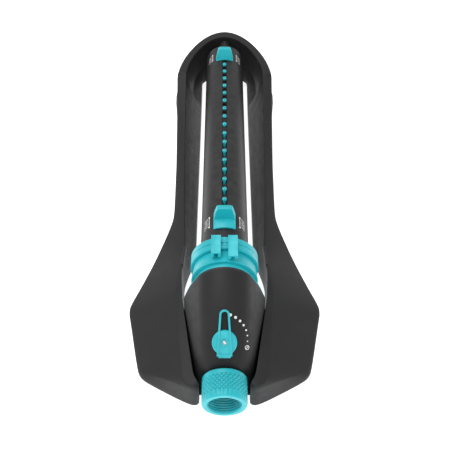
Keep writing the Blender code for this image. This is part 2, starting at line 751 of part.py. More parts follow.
def gear(name, material, centre, layers, bore):
    """Toothed layers (teeth, phase, low, high) on one centre, with a bore through all of them."""
    body = None
    for number, (teeth, phase, low, high) in enumerate(layers):
        outline = gear_outline(centre, teeth, phase)
        if body is None:
            body = prism(name, material, [outline], low, high, upright=True)
        else:
            layer = prism(f"cut_{name}_{number}", None, [outline], low, high, upright=True, cutter=True)
            join(body, layer)
    lows = [layer[2] for layer in layers]
    highs = [layer[3] for layer in layers]
    hole = rod(
        f"cut_{name}_bore", None, bore, min(lows) - 40.0, max(highs) + 40.0,
        (centre[0], 0, centre[1]), steps=12, cutter=True,
    )
    return body, hole


def paddle_outline(centre, blades, hub, tip, half):
    points = []
    for blade in range(blades):
        angle = math.tau * blade / blades
        along = (math.cos(angle), math.sin(angle))
        across = (-along[1], along[0])
        for radius, side in ((hub, -half), (tip, -half), (tip, half), (hub, half)):
            points.append(
                (
                    centre[0] + along[0] * radius + across[0] * side,
                    centre[1] + along[1] * radius + across[1] * side,
                )
            )
    return points


def gear_train():
    rotor, bore = gear("turbine_rotor", ACETAL, ROTOR_AXLE, [(PINION_TEETH, -90.0, -170.1, -163.8)], 1.3)
    paddles = prism(
        "cut_paddles", None, [paddle_outline(ROTOR_AXLE, 11, 4.7, 12.0, 0.6)], -172.8, -168.2,
        upright=True, cutter=True,
    )
    join(rotor, paddles)
    cut(rotor, bore)
    gap_up = 90.0 + 180.0 / WHEEL_TEETH
    gap_down = -90.0 + 180.0 / WHEEL_TEETH
    layers = [(WHEEL_TEETH, gap_up, -167.4, -164.0), (PINION_TEETH, 90.0, -164.2, -160.3)]
    cut(*gear("gear_1", ACETAL, SIDE_AXLE, layers, 1.3))
    layers = [(WHEEL_TEETH, gap_down, -163.5, -160.5), (PINION_TEETH, -90.0, -160.7, -156.4)]
    cut(*gear("gear_2", ACETAL, ROTOR_AXLE, layers, 1.3))
    layers = [(WHEEL_TEETH, gap_up, -159.9, -156.8), (PINION_TEETH, 90.0, -136.6, -130.6)]
    last, bore = gear("gear_3", ACETAL, SIDE_AXLE, layers, 1.3)
    shaft_at = (SIDE_AXLE[0], 0, SIDE_AXLE[1])
    join(last, rod("cut_shaft", None, 1.85, -157.2, -130.8, shaft_at, steps=12, cutter=True))
    cut(last, bore)


def reverser():
    """A rocking carrier whose idlers reach for one side or the other of the output gear."""
    pins = [("idler_a", IDLER_A), ("idler_b", IDLER_B), ("idler_c", IDLER_C)]
    left, low, high = IDLER_A, IDLER_B, IDLER_C
    hull = arc(left, 4.3, 80.0, 235.0, 6) + arc(SIDE_AXLE, 4.3, 235.0, 285.0, 3)
    hull += arc(low, 4.3, 285.0, 330.0, 3) + arc(high, 4.3, 330.0, 440.0, 6)
    carrier = prism("reversing_carrier", CHARCOAL, [hull], -140.2, -138.2, upright=True)
    shaft_at = (SIDE_AXLE[0], 0, SIDE_AXLE[1])
    cut(carrier, rod("cut_pivot", None, 2.25, -150.0, -130.0, shaft_at, steps=16, cutter=True))
    phases = {
        "idler_a": mesh_phase(90.0, PINION_TEETH, direction(SIDE_AXLE, IDLER_A), IDLER_TEETH),
        "idler_b": mesh_phase(90.0, PINION_TEETH, direction(SIDE_AXLE, IDLER_B), IDLER_TEETH),
    }
    phases["idler_c"] = mesh_phase(
        phases["idler_b"], IDLER_TEETH, direction(IDLER_B, IDLER_C), IDLER_TEETH
    )
    for name, centre in pins:
        pin = rod(
            f"cut_{name}_pin", None, 1.0, -138.6, -129.8, (centre[0], 0, centre[1]), steps=12, cutter=True
        )
        join(carrier, pin)
        cut(*gear(name, ACETAL, centre, [(IDLER_TEETH, phases[name], -136.6, -130.6)], 1.3))


def trip_spring():
    """The hairpin that snaps the carrier over."""
    curve = bpy.data.curves.new("trip_spring", "CURVE")
    curve.dimensions = "3D"
    curve.bevel_depth = 0.4 * MM
    curve.bevel_resolution = 1
    curve.use_fill_caps = True
    spline = curve.splines.new("POLY")
    loop = arc((0.0, 50.0), 3.0, 0.0, 180.0, 8)
    route = [(9.0, 40.5)] + loop + [(-9.0, 40.5)]
    spline.points.add(len(route) - 1)
    for point, (x, z) in zip(spline.points, route):
        point.co = (x * MM, -143.2 * MM, z * MM, 1.0)
    obj = bpy.data.objects.new("trip_spring", curve)
    place(obj, STEEL)
    return bake(obj)


def gearbox_case():
    outer = [(0, CASE_REAR), (CASE_RADIUS, CASE_REAR), (CASE_RADIUS, CASE_FRONT)]
    inner = [(17.6, CASE_FRONT), (17.6, CASE_REAR - 2.2), (0, CASE_REAR - 2.2)]
    case = turned("gearbox_case", CHARCOAL, outer + inner, (0, 0, CASE_Z), steps=32)
    for number, x in enumerate((10.0, -10.0)):
        boss = rod(f"cut_case_boss_{number}", None, 3.6, COVER_FOOT, 28.4, (x, -160.0, 0), 0.0, 16, True)
        join(case, boss)
        cut(case, rod(f"cut_case_hole_{number}", None, 1.5, 0.0, 18.0, (x, -160.0, 0), 0.0, 12, True))
    shaft_at = (SIDE_AXLE[0], 0, SIDE_AXLE[1])
    cut(case, rod("cut_shaft_hole", None, 2.3, -155.0, -140.0, shaft_at, steps=16, cutter=True))
    for number, x in enumerate((9.0, -9.0)):
        port = rod(f"cut_port_{number}", None, 3.0, -155.0, -140.0, (x, 0, 52.0), steps=12, cutter=True)
        cut(case, port)


def turbine_stator():
    """The plate whose jets drive the paddles."""
    holes = [circle(ROTOR_AXLE, 1.3, 12)]
    for angle in (30.0, 150.0, 270.0):
        turn = math.radians(angle)
        jet = (ROTOR_AXLE[0] + 9.6 * math.cos(turn), ROTOR_AXLE[1] + 9.6 * math.sin(turn))
        holes.append(circle(jet, 1.8, 10))
    outlines = [circle((0.0, CASE_Z), 17.2, 32)] + holes
    return prism("turbine_stator", CHARCOAL, outlines, -174.9, -173.3, upright=True)


def motor():
    gearbox_case()
    turbine_stator()
    rod("rotor_axle", STEEL, 1.0, -175.6, -152.2, (ROTOR_AXLE[0], 0, ROTOR_AXLE[1]), steps=12)
    rod("side_axle", STEEL, 1.0, -167.7, -118.9, (SIDE_AXLE[0], 0, SIDE_AXLE[1]), steps=12)
    gear_train()
    reverser()
    trip_spring()
    for number, x in enumerate((10.0, -10.0), start=1):
        screw = [(0, 17.0), (1.2, 17.0), (1.2, 1.7), (3.4, 1.7), (3.4, 0.4), (0, 0.4)]
        turned(f"motor_screw_{number}", STEEL, screw, (x, -160.0, 0), 0.0, 12)


# ---------------------------------------------------------------- spray tube


def tube_section(outer, inner, low_angle):
    """The tube's cover: an arched wall, open below."""
    centre = (0.0, AXIS_Z)
    over = arc(centre, outer, low_angle, 180.0 - low_angle, 22)
    under = arc(centre, inner, 180.0 - low_angle, low_angle, 22)
    return over + under


def head_positions():
    """Nozzle number, the side it leans from, and where its head and its pivot lie along Y."""
    places = []
    for number in range(NOZZLES):
        step = number - NOZZLE_MIDDLE
        head = NOZZLE_CENTRE_Y + step * NOZZLE_PITCH
        side = (step > 0) - (step < 0)
        pivot = head + side * HEAD_HEIGHT * math.sin(NOZZLE_LEAN)
        places.append((number + 1, side, pivot))
    return places


def stem_y(side, pivot, height):
    """Where a nozzle's stem is at a height above its pivot."""
    return pivot - side * height * math.tan(NOZZLE_LEAN)


def slot_outline(half, low, high):
    return [(half, low), (half, high), (-half, high), (-half, low)]


def nozzle(number, side, pivot):
    tip = HEAD_HEIGHT + 0.3
    head = [(0.55, tip), (1.3, tip - 0.2), (2.0, tip - 1.1), (2.1, tip - 2.3), (1.5, tip - 3.0)]
    stem = [(1.45, 2.0), (2.15, 0.5), (2.0, -1.0), (1.3, -1.8), (0.55, -2.1)]
    at = (0, pivot, NOZZLE_PIVOT_Z)
    lean = side * NOZZLE_LEAN
    return turned(f"nozzle_{number:02d}", TURQUOISE, head + stem, at, lean, 8, closed=True)


def spray_tube():
    section = tube_section(TUBE_RADIUS, TUBE_RADIUS - TUBE_WALL, -25.0)
    tube = prism("spray_tube", CHARCOAL, [section], TUBE_FRONT, TUBE_REAR, upright=True)
    top = AXIS_Z + TUBE_RADIUS
    height = top - TUBE_WALL / 2 - NOZZLE_PIVOT_Z
    for number, side, pivot in head_positions():
        middle = pivot if side == 0 else stem_y(side, pivot, height)
        reach = abs(side) * SLIDER_TRAVEL * height / COMB_HEIGHT
        near = middle - 2.0 - (reach + 0.2 if side < 0 else 0.0)
        far = middle + 2.0 + (reach + 0.2 if side > 0 else 0.0)
        low = (-2.1, near, top - 6.0)
        high = (2.1, far, top + 3.0)
        cut(tube, block(f"cut_jet_{number}", None, low, high, cutter=True))
    for number, middle, side in ((1, POST_FRONT, -1), (2, POST_REAR, 1)):
        near = middle - 4.4 - (SLIDER_TRAVEL + 0.2 if side < 0 else 0.0)
        far = middle + 4.4 + (SLIDER_TRAVEL + 0.2 if side > 0 else 0.0)
        low = (-2.6, near, top - 6.0)
        high = (2.6, far, top + 3.0)
        cut(tube, block(f"cut_guide_{number}", None, low, high, cutter=True))
    return tube


def comb(name, side, middle):
    """A strip inside the tube that carries one half of the nozzles along with its slider."""
    stems = [stem_y(s, pivot, COMB_HEIGHT) for number, s, pivot in head_positions() if s == side]
    end = (max(stems) + 4.0) if side < 0 else (min(stems) - 4.0)
    start = middle + side * 6.0
    outline = slot_outline(4.5, min(start, end), max(start, end))
    holes = [circle((0.0, y), 2.1, 10) for y in stems]
    strip = prism(name, CHARCOAL, [outline] + holes, COMB_LOW, COMB_HIGH)
    near = (-2.2, middle - 4.0, COMB_LOW + 0.4)
    far = (2.2, middle + 4.0, 77.8)
    join(strip, block(f"cut_{name}_post", None, near, far, cutter=True))
    return strip


def slider(name, side, near, far):
    """A saddle on the tube with a leaning thumb fin on the side of the tube's middle."""
    centre = (0.0, AXIS_Z)
    over = arc(centre, SADDLE_RADIUS, 64.9, 115.1, 12)
    under = arc(centre, TUBE_RADIUS - 2.0, 115.1, 64.9, 12)
    saddle = prism(name, TURQUOISE, [over + under], near, far, upright=True)
    inner = far if side < 0 else near
    low = [(x, inner + side * d, 77.3) for x, d in ((-10.2, 0.1), (10.2, 0.1), (10.2, 9.1), (-10.2, 9.1))]
    high = [(x, inner + side * d, 91.6) for x, d in ((-7.0, 3.0), (7.0, 3.0), (7.0, 8.0), (-7.0, 8.0))]
    join(saddle, frustum(f"cut_{name}_fin", low, high))
    bore = TUBE_RADIUS + GAP
    under_at = (0, inner, AXIS_Z)
    cut(saddle, rod(f"cut_{name}_under", None, bore, -30.0, 30.0, under_at, steps=64, cutter=True))
    return saddle


def frustum(name, low, high):
    """A block with its own four corners below and above, as a cutter."""
    mesh = bpy.data.meshes.new(name)
    work = bmesh.new()
    below = [work.verts.new(Vector(p) * MM) for p in low]
    above = [work.verts.new(Vector(p) * MM) for p in high]
    work.faces.new(list(reversed(below)))
    work.faces.new(above)
    for i in range(4):
        j = (i + 1) % 4
        work.faces.new((below[i], below[j], above[j], above[i]))
    bmesh.ops.recalc_face_normals(work, faces=work.faces)
    work.to_mesh(mesh)
    work.free()
    obj = bpy.data.objects.new(name, mesh)
    return place(obj, None, True)


def water_channel():
    outer = [(7.0, 48.0), (7.0, 63.0), (-7.0, 63.0), (-7.0, 48.0)]
    inner = [(5.4, 49.6), (5.4, 61.4), (-5.4, 61.4), (-5.4, 49.6)]
    channel = prism("water_channel", CHARCOAL, [outer, inner], -110.6, 190.4, upright=True)
    for number, side, pivot in head_positions():
        hole = rod(f"cut_socket_{number}", None, 2.5, 56.0, 66.0, (0, pivot, 0), 0.0, 10, True)
        cut(channel, hole)
    return channel


def output_hub():
    outer = [(19.6, -111.0), (19.6, -115.6), (8.6, -115.6), (8.6, -137.0)]
    profile = outer + [(5.0, -137.0), (5.0, -111.0)]
    hub = turned("output_hub", ACETAL, profile, (0, 0, AXIS_Z), steps=24, closed=True)
    outline = gear_outline(HUB_CENTRE, OUTPUT_TEETH, -90.0)
    rim = prism("cut_output_gear", None, [outline], -136.6, -130.6, upright=True, cutter=True)
    bore = rod("cut_hub_bore", None, 7.0, -140.0, -125.0, (0, 0, AXIS_Z), steps=12, cutter=True)
    cut(rim, bore)
    join(hub, rim)
    return hub


def tube_assembly():
    spray_tube()
    output_hub()
    water_channel()
    lower = [(19.4, 46.2), (17.0, 43.5), (-17.0, 43.5), (-19.4, 46.2)]
    upper = [(-17.4, 46.2), (-16.0, 45.2), (16.0, 45.2), (17.4, 46.2)]
    prism("tube_base", CHARCOAL, [lower + upper], -110.6, 190.4, upright=True)
    cap = [(0, 227.0), (3.4, 227.0), (4.0, 226.0), (4.0, 195.0), (19.6, 195.0), (19.6, 190.8), (0, 190.8)]
    turned("tube_end_cap", CHARCOAL, cap, (0, 0, AXIS_Z), steps=32)
    pipe("rear_bearing", ACETAL, 5.3, 4.4, 209.6, 224.0, (0, 0, AXIS_Z))
    for number, side, pivot in head_positions():
        nozzle(number, side, pivot)
    comb("front_comb", -1, POST_FRONT)
    comb("rear_comb", 1, POST_REAR)
    slider("front_slider", -1, *SLIDER_FRONT)
    slider("rear_slider", 1, *SLIDER_REAR)


def main_frame():
    base_frame()
    rear_bumper()
    for number, (x, y) in enumerate(FOOT_PLACES, start=1):
        rod(f"rubber_foot_{number}", RUBBER, FOOT_RADIUS, 0.0, 3.0, (x, y, 0), 0.0, 20)


main_frame()
motor_cover()
drive_housing()
range_rings()
inlet()
motor()
tube_assembly()
for part in PARTS.objects:
    smooth(part)
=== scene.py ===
"""Looks of the oscillating garden sprinkler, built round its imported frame. Lengths are in millimetres."""

import math

import bmesh
import bpy
from mathutils import Matrix, Vector
from mathutils.bvhtree import BVHTree
from mathutils.geometry import interpolate_bezier


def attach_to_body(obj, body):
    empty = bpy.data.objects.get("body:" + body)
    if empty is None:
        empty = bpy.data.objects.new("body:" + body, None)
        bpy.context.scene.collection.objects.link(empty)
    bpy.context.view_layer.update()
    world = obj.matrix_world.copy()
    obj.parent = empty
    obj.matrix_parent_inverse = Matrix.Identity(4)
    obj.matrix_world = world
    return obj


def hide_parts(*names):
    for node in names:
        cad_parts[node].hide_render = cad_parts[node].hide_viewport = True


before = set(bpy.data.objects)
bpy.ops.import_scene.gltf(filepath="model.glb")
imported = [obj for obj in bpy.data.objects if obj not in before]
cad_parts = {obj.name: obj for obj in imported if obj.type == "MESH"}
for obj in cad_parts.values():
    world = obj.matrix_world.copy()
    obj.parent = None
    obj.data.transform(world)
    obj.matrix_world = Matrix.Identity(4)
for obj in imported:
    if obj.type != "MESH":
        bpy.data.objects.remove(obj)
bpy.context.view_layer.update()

MM = 0.001
DUST_SHARE = 0.008
SHARP_ANGLE = math.radians(32.0)
BEVEL_ANGLE = math.radians(30.0)
scene = bpy.context.scene

# ---------------------------------------------------------------- materials


def nodes_of(name):
    """A new material with its node tree and its shader."""
    material = bpy.data.materials.new(name)
    material.use_nodes = True
    tree = material.node_tree
    return material, tree, tree.nodes["Principled BSDF"]


def node(tree, kind, inputs=None, **settings):
    """Add a node; an input is either a value or another node's output."""
    made = tree.nodes.new(kind)
    for key, value in settings.items():
        setattr(made, key, value)
    for key, value in (inputs or {}).items():
        if hasattr(value, "is_output"):
            tree.links.new(value, made.inputs[key])
        else:
            made.inputs[key].default_value = value
    return made


def noise(tree, place, scale, detail=3.0, roughness=0.55):
    """Noise from 0 to 1; the scale is in waves per metre."""
    inputs = {"Vector": place, "Scale": scale, "Detail": detail, "Roughness": roughness}
    return node(tree, "ShaderNodeTexNoise", inputs).outputs["Fac"]


def mapped(tree, value, low, high, start=0.3, end=0.7):
    """Stretch start..end to low..high, clamped."""
    inputs = {"Value": value, "From Min": start, "From Max": end, "To Min": low, "To Max": high}
    return node(tree, "ShaderNodeMapRange", inputs, clamp=True).outputs["Result"]


def mixed(tree, share, first, second):
    """A colour between two colours."""
    made = node(tree, "ShaderNodeMix", data_type="RGBA", blend_type="MIX")
    for key, value in ((0, share), (6, first), (7, second)):
        if hasattr(value, "is_output"):
            tree.links.new(value, made.inputs[key])
        elif key == 0:
            made.inputs[key].default_value = value
        else:
            made.inputs[key].default_value = (*value, 1.0)
    return made.outputs[2]


def moulded(name, colour, edge_wear_and_highlight_colour, roughness, grain, depth, dust=(0.5, 0.5, 0.48), gloss=0.5):
    """Injection-moulded plastic: fine spark-eroded grain, faint flow marks, edges lighter as rubbed wear and as
    a painted highlight, a little dust.

    The grain's size and depth are in millimetres."""
    material, tree, shader = nodes_of(name)
    place = node(tree, "ShaderNodeTexCoord").outputs["Object"]
    flow = noise(tree, place, 38.0, 2.0)
    fine = noise(tree, place, 1.0 / (grain * MM), 2.0, 0.5)
    patch = noise(tree, place, 120.0, 4.0, 0.65)
    dark = tuple(c * 0.86 for c in colour)
    base = mixed(tree, mapped(tree, flow, 0.0, 1.0), dark, colour)
    # sharp edges get a lighter colour: partly rubbed wear, partly a painted highlight along the rims
    edges = node(tree, "ShaderNodeNewGeometry").outputs["Pointiness"]
    wear_and_highlight_edges = mapped(tree, edges, 0.0, 1.0, 0.53, 0.62)
    wear_and_highlight_share = node(tree, "ShaderNodeMath", {0: wear_and_highlight_edges}, operation="MULTIPLY")
    tree.links.new(mapped(tree, patch, 0.25, 1.0), wear_and_highlight_share.inputs[1])
    worn_and_highlit = mixed(tree, wear_and_highlight_share.outputs[0], base, edge_wear_and_highlight_colour)
    facing = node(tree, "ShaderNodeSeparateXYZ", {0: node(tree, "ShaderNodeNewGeometry").outputs["Normal"]})
    upward = mapped(tree, facing.outputs["Z"], 0.0, DUST_SHARE, 0.5, 1.0)
    settled = node(tree, "ShaderNodeMath", {0: upward}, operation="MULTIPLY")
    tree.links.new(mapped(tree, patch, 0.4, 1.0, 0.4, 0.7), settled.inputs[1])
    tree.links.new(mixed(tree, settled.outputs[0], worn_and_highlit, dust), shader.inputs["Base Color"])
    rough = mapped(tree, patch, roughness - 0.05, roughness + 0.07)
    tree.links.new(rough, shader.inputs["Roughness"])
    shader.inputs["IOR"].default_value = 1.5
    shader.inputs["Specular IOR Level"].default_value = gloss
    bump = node(tree, "ShaderNodeBump", {"Strength": 0.5, "Distance": depth * MM, "Height": fine})
    tree.links.new(bump.outputs["Normal"], shader.inputs["Normal"])
    return material


def steel(name):
    """Turned steel with fine circular scratches."""
    material, tree, shader = nodes_of(name)
    place = node(tree, "ShaderNodeTexCoord").outputs["Object"]
    stretched = node(tree, "ShaderNodeMapping", {"Vector": place, "Scale": (900.0, 60.0, 900.0)}).outputs[0]
    scratches = noise(tree, stretched, 1.0, 2.0)
    tone = mixed(tree, mapped(tree, scratches, 0.0, 1.0), (0.52, 0.52, 0.53), (0.72, 0.72, 0.73))
    tree.links.new(tone, shader.inputs["Base Color"])
    shader.inputs["Metallic"].default_value = 1.0
    tree.links.new(mapped(tree, scratches, 0.2, 0.38), shader.inputs["Roughness"])
    bump = node(tree, "ShaderNodeBump", {"Strength": 0.25, "Distance": 0.02 * MM, "Height": scratches})
    tree.links.new(bump.outputs["Normal"], shader.inputs["Normal"])
    return material


def woven(name):
    """Fine stainless mesh, as two crossing sets of wires."""
    material, tree, shader = nodes_of(name)
    place = node(tree, "ShaderNodeTexCoord").outputs["Object"]
    waves = []
    for direction in ("X", "Z"):
        inputs = {"Vector": place, "Scale": 330.0, "Distortion": 0.0}
        waves.append(node(tree, "ShaderNodeTexWave", inputs, bands_direction=direction).outputs["Fac"])
    wires = node(tree, "ShaderNodeMath", {0: waves[0], 1: waves[1]}, operation="MAXIMUM").outputs[0]
    tree.links.new(mixed(tree, wires, (0.01, 0.01, 0.01), (0.45, 0.46, 0.47)), shader.inputs["Base Color"])
    shader.inputs["Metallic"].default_value = 0.7
    shader.inputs["Roughness"].default_value = 0.4
    bump = node(tree, "ShaderNodeBump", {"Strength": 0.8, "Distance": 0.2 * MM, "Height": wires})
    tree.links.new(bump.outputs["Normal"], shader.inputs["Normal"])
    return material


def ink(name):
    """Pad-printed white, slightly uneven."""
    material, tree, shader = nodes_of(name)
    place = node(tree, "ShaderNodeTexCoord").outputs["Object"]
    cover = noise(tree, place, 900.0, 3.0)
    tone = mixed(tree, mapped(tree, cover, 0.0, 1.0), (0.78, 0.78, 0.77), (0.93, 0.93, 0.92))
    tree.links.new(tone, shader.inputs["Base Color"])
    shader.inputs["Roughness"].default_value = 0.6
    return material


CHARCOAL = moulded(
    "charcoal", (0.020, 0.020, 0.021), (0.07, 0.07, 0.07), roughness=0.50, grain=0.35, depth=0.05, gloss=0.26
)
TUBE_BLACK = moulded(
    "tube_charcoal", (0.017, 0.017, 0.018), (0.06, 0.06, 0.06),
    roughness=0.42, grain=0.25, depth=0.025, gloss=0.22,
)
# a darker copy of the charcoal: painted shade for pieces deep inside the arch
SHADED_BLACK = moulded(
    "shaded_charcoal", (0.006, 0.006, 0.006), (0.02, 0.02, 0.02),
    roughness=0.60, grain=0.35, depth=0.05, gloss=0.15,
)
TURQUOISE = moulded(
    "turquoise", (0.012, 0.50, 0.57), (0.10, 0.70, 0.77),
    roughness=0.38, grain=0.3, depth=0.02, dust=(0.3, 0.68, 0.72),
)
ACETAL = moulded("acetal", (0.70, 0.69, 0.64), (0.82, 0.81, 0.77), roughness=0.42, grain=0.3, depth=0.02)
RUBBER = moulded(
    "rubber", (0.018, 0.018, 0.018), (0.035, 0.035, 0.035), roughness=0.72, grain=0.5, depth=0.08
)
STEEL = steel("turned_steel")
MESH = woven("filter_weave")
WHITE = ink("printed_white")
BY_SLOT = {
    "charcoal_plastic": CHARCOAL,
    "turquoise_plastic": TURQUOISE,
    "natural_acetal": ACETAL,
    "black_rubber": RUBBER,
    "bright_steel": STEEL,
    "filter_mesh": MESH,
}
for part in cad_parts.values():
    for slot in part.material_slots:
        slot.material = BY_SLOT.get(slot.material.name.split(".")[0], CHARCOAL)
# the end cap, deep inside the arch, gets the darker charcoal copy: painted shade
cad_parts["tube_end_cap"].material_slots[0].material = SHADED_BLACK

# ---------------------------------------------------------------- mesh helpers


def new_object(name, work, material):
    """Turn a bmesh into an object of the scene."""
    mesh = bpy.data.meshes.new(name)
    work.to_mesh(mesh)
    work.free()
    obj = bpy.data.objects.new(name, mesh)
    scene.collection.objects.link(obj)
    mesh.materials.append(material)
    return obj


def apply_modifiers(obj):
    """Swap an object's mesh for its evaluated one."""
    depsgraph = bpy.context.evaluated_depsgraph_get()
    mesh = bpy.data.meshes.new_from_object(obj.evaluated_get(depsgraph))
    obj.modifiers.clear()
    obj.data = mesh
    return obj


def shade(obj):
    """Smooth shading with sharp edges kept."""
    obj.data.shade_smooth()
    obj.data.set_sharp_from_angle(angle=SHARP_ANGLE)
    return obj


def soften(obj, width, segments=2):
    """Round the sharp edges."""
    bevel = obj.modifiers.new("edges", "BEVEL")
    bevel.width = width * MM
    bevel.segments = segments
    bevel.limit_method = "ANGLE"
    bevel.angle_limit = BEVEL_ANGLE
    bevel.harden_normals = False
    return apply_modifiers(obj)


def merge(name, objects):
    """One piece out of several meshes."""
    work = bmesh.new()
    for obj in objects:
        part = obj.data.copy()
        part.transform(obj.matrix_world)
        work.from_mesh(part)
        bpy.data.meshes.remove(part)
    material = objects[0].data.materials[0]
    for obj in objects:
        bpy.data.objects.remove(obj)
    return new_object(name, work, material)


def attach(obj, body, slot, *nodes):
    """Ride on a body in place of the given nodes; the slot argument is not used."""
    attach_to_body(obj, body)
    if nodes:
        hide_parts(*nodes)
    return obj


def mix_points(first, second, share):
    """A point on the line between two points."""
    return tuple(a + (b - a) * share for a, b in zip(first, second))


def chaikin(rows, times=2):
    """Round a path of rows by cutting its corners; the ends stay."""
    for _ in range(times):
        fresh = [rows[0]]
        for near, far in zip(rows, rows[1:]):
            fresh.append([mix_points(a, b, 0.25) for a, b in zip(near, far)])
            fresh.append([mix_points(a, b, 0.75) for a, b in zip(near, far)])
        rows = fresh + [rows[-1]]
    return rows


def filleted(row, radii):
    """Round each inner point of a row that has a radius, with the same number of points in every row."""
    made = [row[0]]
    for before, here, after, radius in zip(row, row[1:], row[2:], radii):
        if radius == 0:
            made.append(here)
            continue
        back = math.dist(before, here)
        ahead = math.dist(here, after)
        start = mix_points(here, before, min(radius / max(back, 1e-6), 0.45))
        end = mix_points(here, after, min(radius / max(ahead, 1e-6), 0.45))
        for share in (0.0, 0.25, 0.5, 0.75, 1.0):
            made.append(mix_points(mix_points(start, here, share), mix_points(here, end, share), share))
    made.append(row[-1])
    return made


def shell(name, material, rows, thickness, offset=-1.0):
    """A moulded wall through rows of points, mirrored at X=0."""
    work = bmesh.new()
    grid = [[work.verts.new(Vector(p) * MM) for p in row] for row in rows]
    for near, far in zip(grid, grid[1:]):
        for a, b, c, d in zip(near, near[1:], far[1:], far):
            work.faces.new((a, d, c, b))
    bmesh.ops.remove_doubles(work, verts=work.verts, dist=0.00001)
    obj = new_object(name, work, material)
    flip = obj.modifiers.new("mirror", "MIRROR")
    flip.use_clip = True
    flip.merge_threshold = 0.00005
    wall = obj.modifiers.new("wall", "SOLIDIFY")
    wall.thickness = thickness * MM
    wall.offset = offset
    wall.use_even_offset = True
    wall.thickness_clamp = 1.0
    return shade(apply_modifiers(obj))


def arc(centre, radius, start, end, steps):
    """Points of an arc between two angles in degrees."""
    points = []
    for i in range(steps + 1):
        angle = math.radians(start + (end - start) * i / steps)
        points.append((centre[0] + radius * math.cos(angle), centre[1] + radius * math.sin(angle)))
    return points


def axis_frame(at, lean):
    """Local +Z along +Y when lean is -90 degrees, straight up when it is 0."""
    return Matrix.Translation(Vector(at) * MM) @ Matrix.Rotation(lean, 4, "X")


ALONG_Y = -math.pi / 2


def lathe(name, material, profile, at, lean=ALONG_Y, steps=64, wobble=None):
    """A closed profile of (radius, height) turned about a line; wobble moves a point's radius."""
    work = bmesh.new()
    rings = []
    for i in range(steps):
        turn = math.tau * i / steps
        ring = []
        for radius, height in profile:
            reach = radius + (wobble(turn, radius, height) if wobble else 0.0)
            ring.append(work.verts.new(Vector((reach * math.cos(turn), reach * math.sin(turn), height)) * MM))
        rings.append(ring)
    count = len(profile)
    for i in range(steps):
        near, far = rings[i], rings[(i + 1) % steps]
        for j in range(count):
            k = (j + 1) % count
            work.faces.new((near[j], far[j], far[k], near[k]))
    bmesh.ops.remove_doubles(work, verts=work.verts, dist=0.000001)
    bmesh.ops.recalc_face_normals(work, faces=work.faces)
    work.transform(axis_frame(at, lean))
    obj = new_object(name, work, material)
    return shade(obj)


def round_profile(profile, radius, steps=3):
    """Round every corner of a closed profile."""
    made = []
    count = len(profile)
    for i, here in enumerate(profile):
        before, after = profile[i - 1], profile[(i + 1) % count]
        back, ahead = math.dist(before, here), math.dist(here, after)
        start = mix_points(here, before, min(radius, back * 0.45) / back)
        end = mix_points(here, after, min(radius, ahead * 0.45) / ahead)
        for j in range(steps + 1):
            share = j / steps
            made.append(mix_points(mix_points(start, here, share), mix_points(here, end, share), share))
    return made


def plate(name, material, outlines, low, high, upright=False, edge=0.4):
    """Flat outlines (rim first, then holes) with a thickness and softened edges."""
    curve = bpy.data.curves.new(name, "CURVE")
    curve.dimensions = "2D"
    curve.fill_mode = "BOTH"
    curve.extrude = (high - low) / 2 * MM
    for outline in outlines:
        spline = curve.splines.new("POLY")
        spline.points.add(len(outline) - 1)
        for point, (u, v) in zip(spline.points, outline):
            point.co = (u * MM, v * MM, 0.0, 1.0)
        spline.use_cyclic_u = True
    source = bpy.data.objects.new(name, curve)
    scene.collection.objects.link(source)
    depsgraph = bpy.context.evaluated_depsgraph_get()
    mesh = bpy.data.meshes.new_from_object(source.evaluated_get(depsgraph))
    bpy.data.objects.remove(source)
    work = bmesh.new()
    work.from_mesh(mesh)
    bmesh.ops.remove_doubles(work, verts=work.verts, dist=0.000001)
    bmesh.ops.dissolve_limit(work, angle_limit=0.001, verts=work.verts, edges=work.edges)
    middle = (low + high) / 2 * MM
    if upright:
        work.transform(Matrix.Translation((0, middle, 0)) @ Matrix.Rotation(math.pi / 2, 4, "X"))
    else:
        work.transform(Matrix.Translation((0, 0, middle)))
    obj = new_object(name, work, material)
    if edge:
        soften(obj, edge)
    return shade(obj)


def box_between(name, material, low, high, edge=0.4):
    """A box between two corners, with softened edges."""
    work = bmesh.new()
    bmesh.ops.create_cube(work, size=1.0)
    middle = (Vector(low) + Vector(high)) / 2 * MM
    size = (Vector(high) - Vector(low)) * MM
    bmesh.ops.scale(work, vec=size, verts=work.verts)
    bmesh.ops.translate(work, vec=middle, verts=work.verts)
    obj = new_object(name, work, material)
    if edge:
        soften(obj, edge)
    return shade(obj)


def cut_away(obj, tools):
    """Subtract closed meshes and drop them."""
    for tool in tools:
        step = obj.modifiers.new("cut", "BOOLEAN")
        step.operation = "DIFFERENCE"
        step.solver = "EXACT"
        step.object = tool
        apply_modifiers(obj)
        bpy.data.objects.remove(tool)
    return shade(obj)


def along(table, position):
    """Smooth values between the rows (position, value) of a table."""
    count = len(table)
    for i in range(count - 1):
        p0, v0 = table[i]
        p1, v1 = table[i + 1]
        if position <= p1 or i == count - 2:
            share = min(1.0, max(0.0, (position - p0) / (p1 - p0)))
            before = table[i - 1] if i else (p0 - (p1 - p0), v0 - (v1 - v0))
            after = table[i + 2] if i + 2 < count else (p1 + (p1 - p0), v1 + (v1 - v0))
            slope0 = (v1 - before[1]) / (p1 - before[0]) * (p1 - p0)
            slope1 = (after[1] - v0) / (after[0] - p0) * (p1 - p0)
            s2, s3 = share * share, share ** 3
            return (
                (2 * s3 - 3 * s2 + 1) * v0
                + (s3 - 2 * s2 + share) * slope0
                + (3 * s2 - 2 * s3) * v1
                + (s3 - s2) * slope1
            )


def straight(table, position):
    """Values on straight lines between the rows (position, value) of a table."""
    for (p0, v0), (p1, v1) in zip(table, table[1:]):
        if position <= p1:
            return v0 + (v1 - v0) * max(0.0, (position - p0) / (p1 - p0))
    return table[-1][1]


# ---------------------------------------------------------------- base

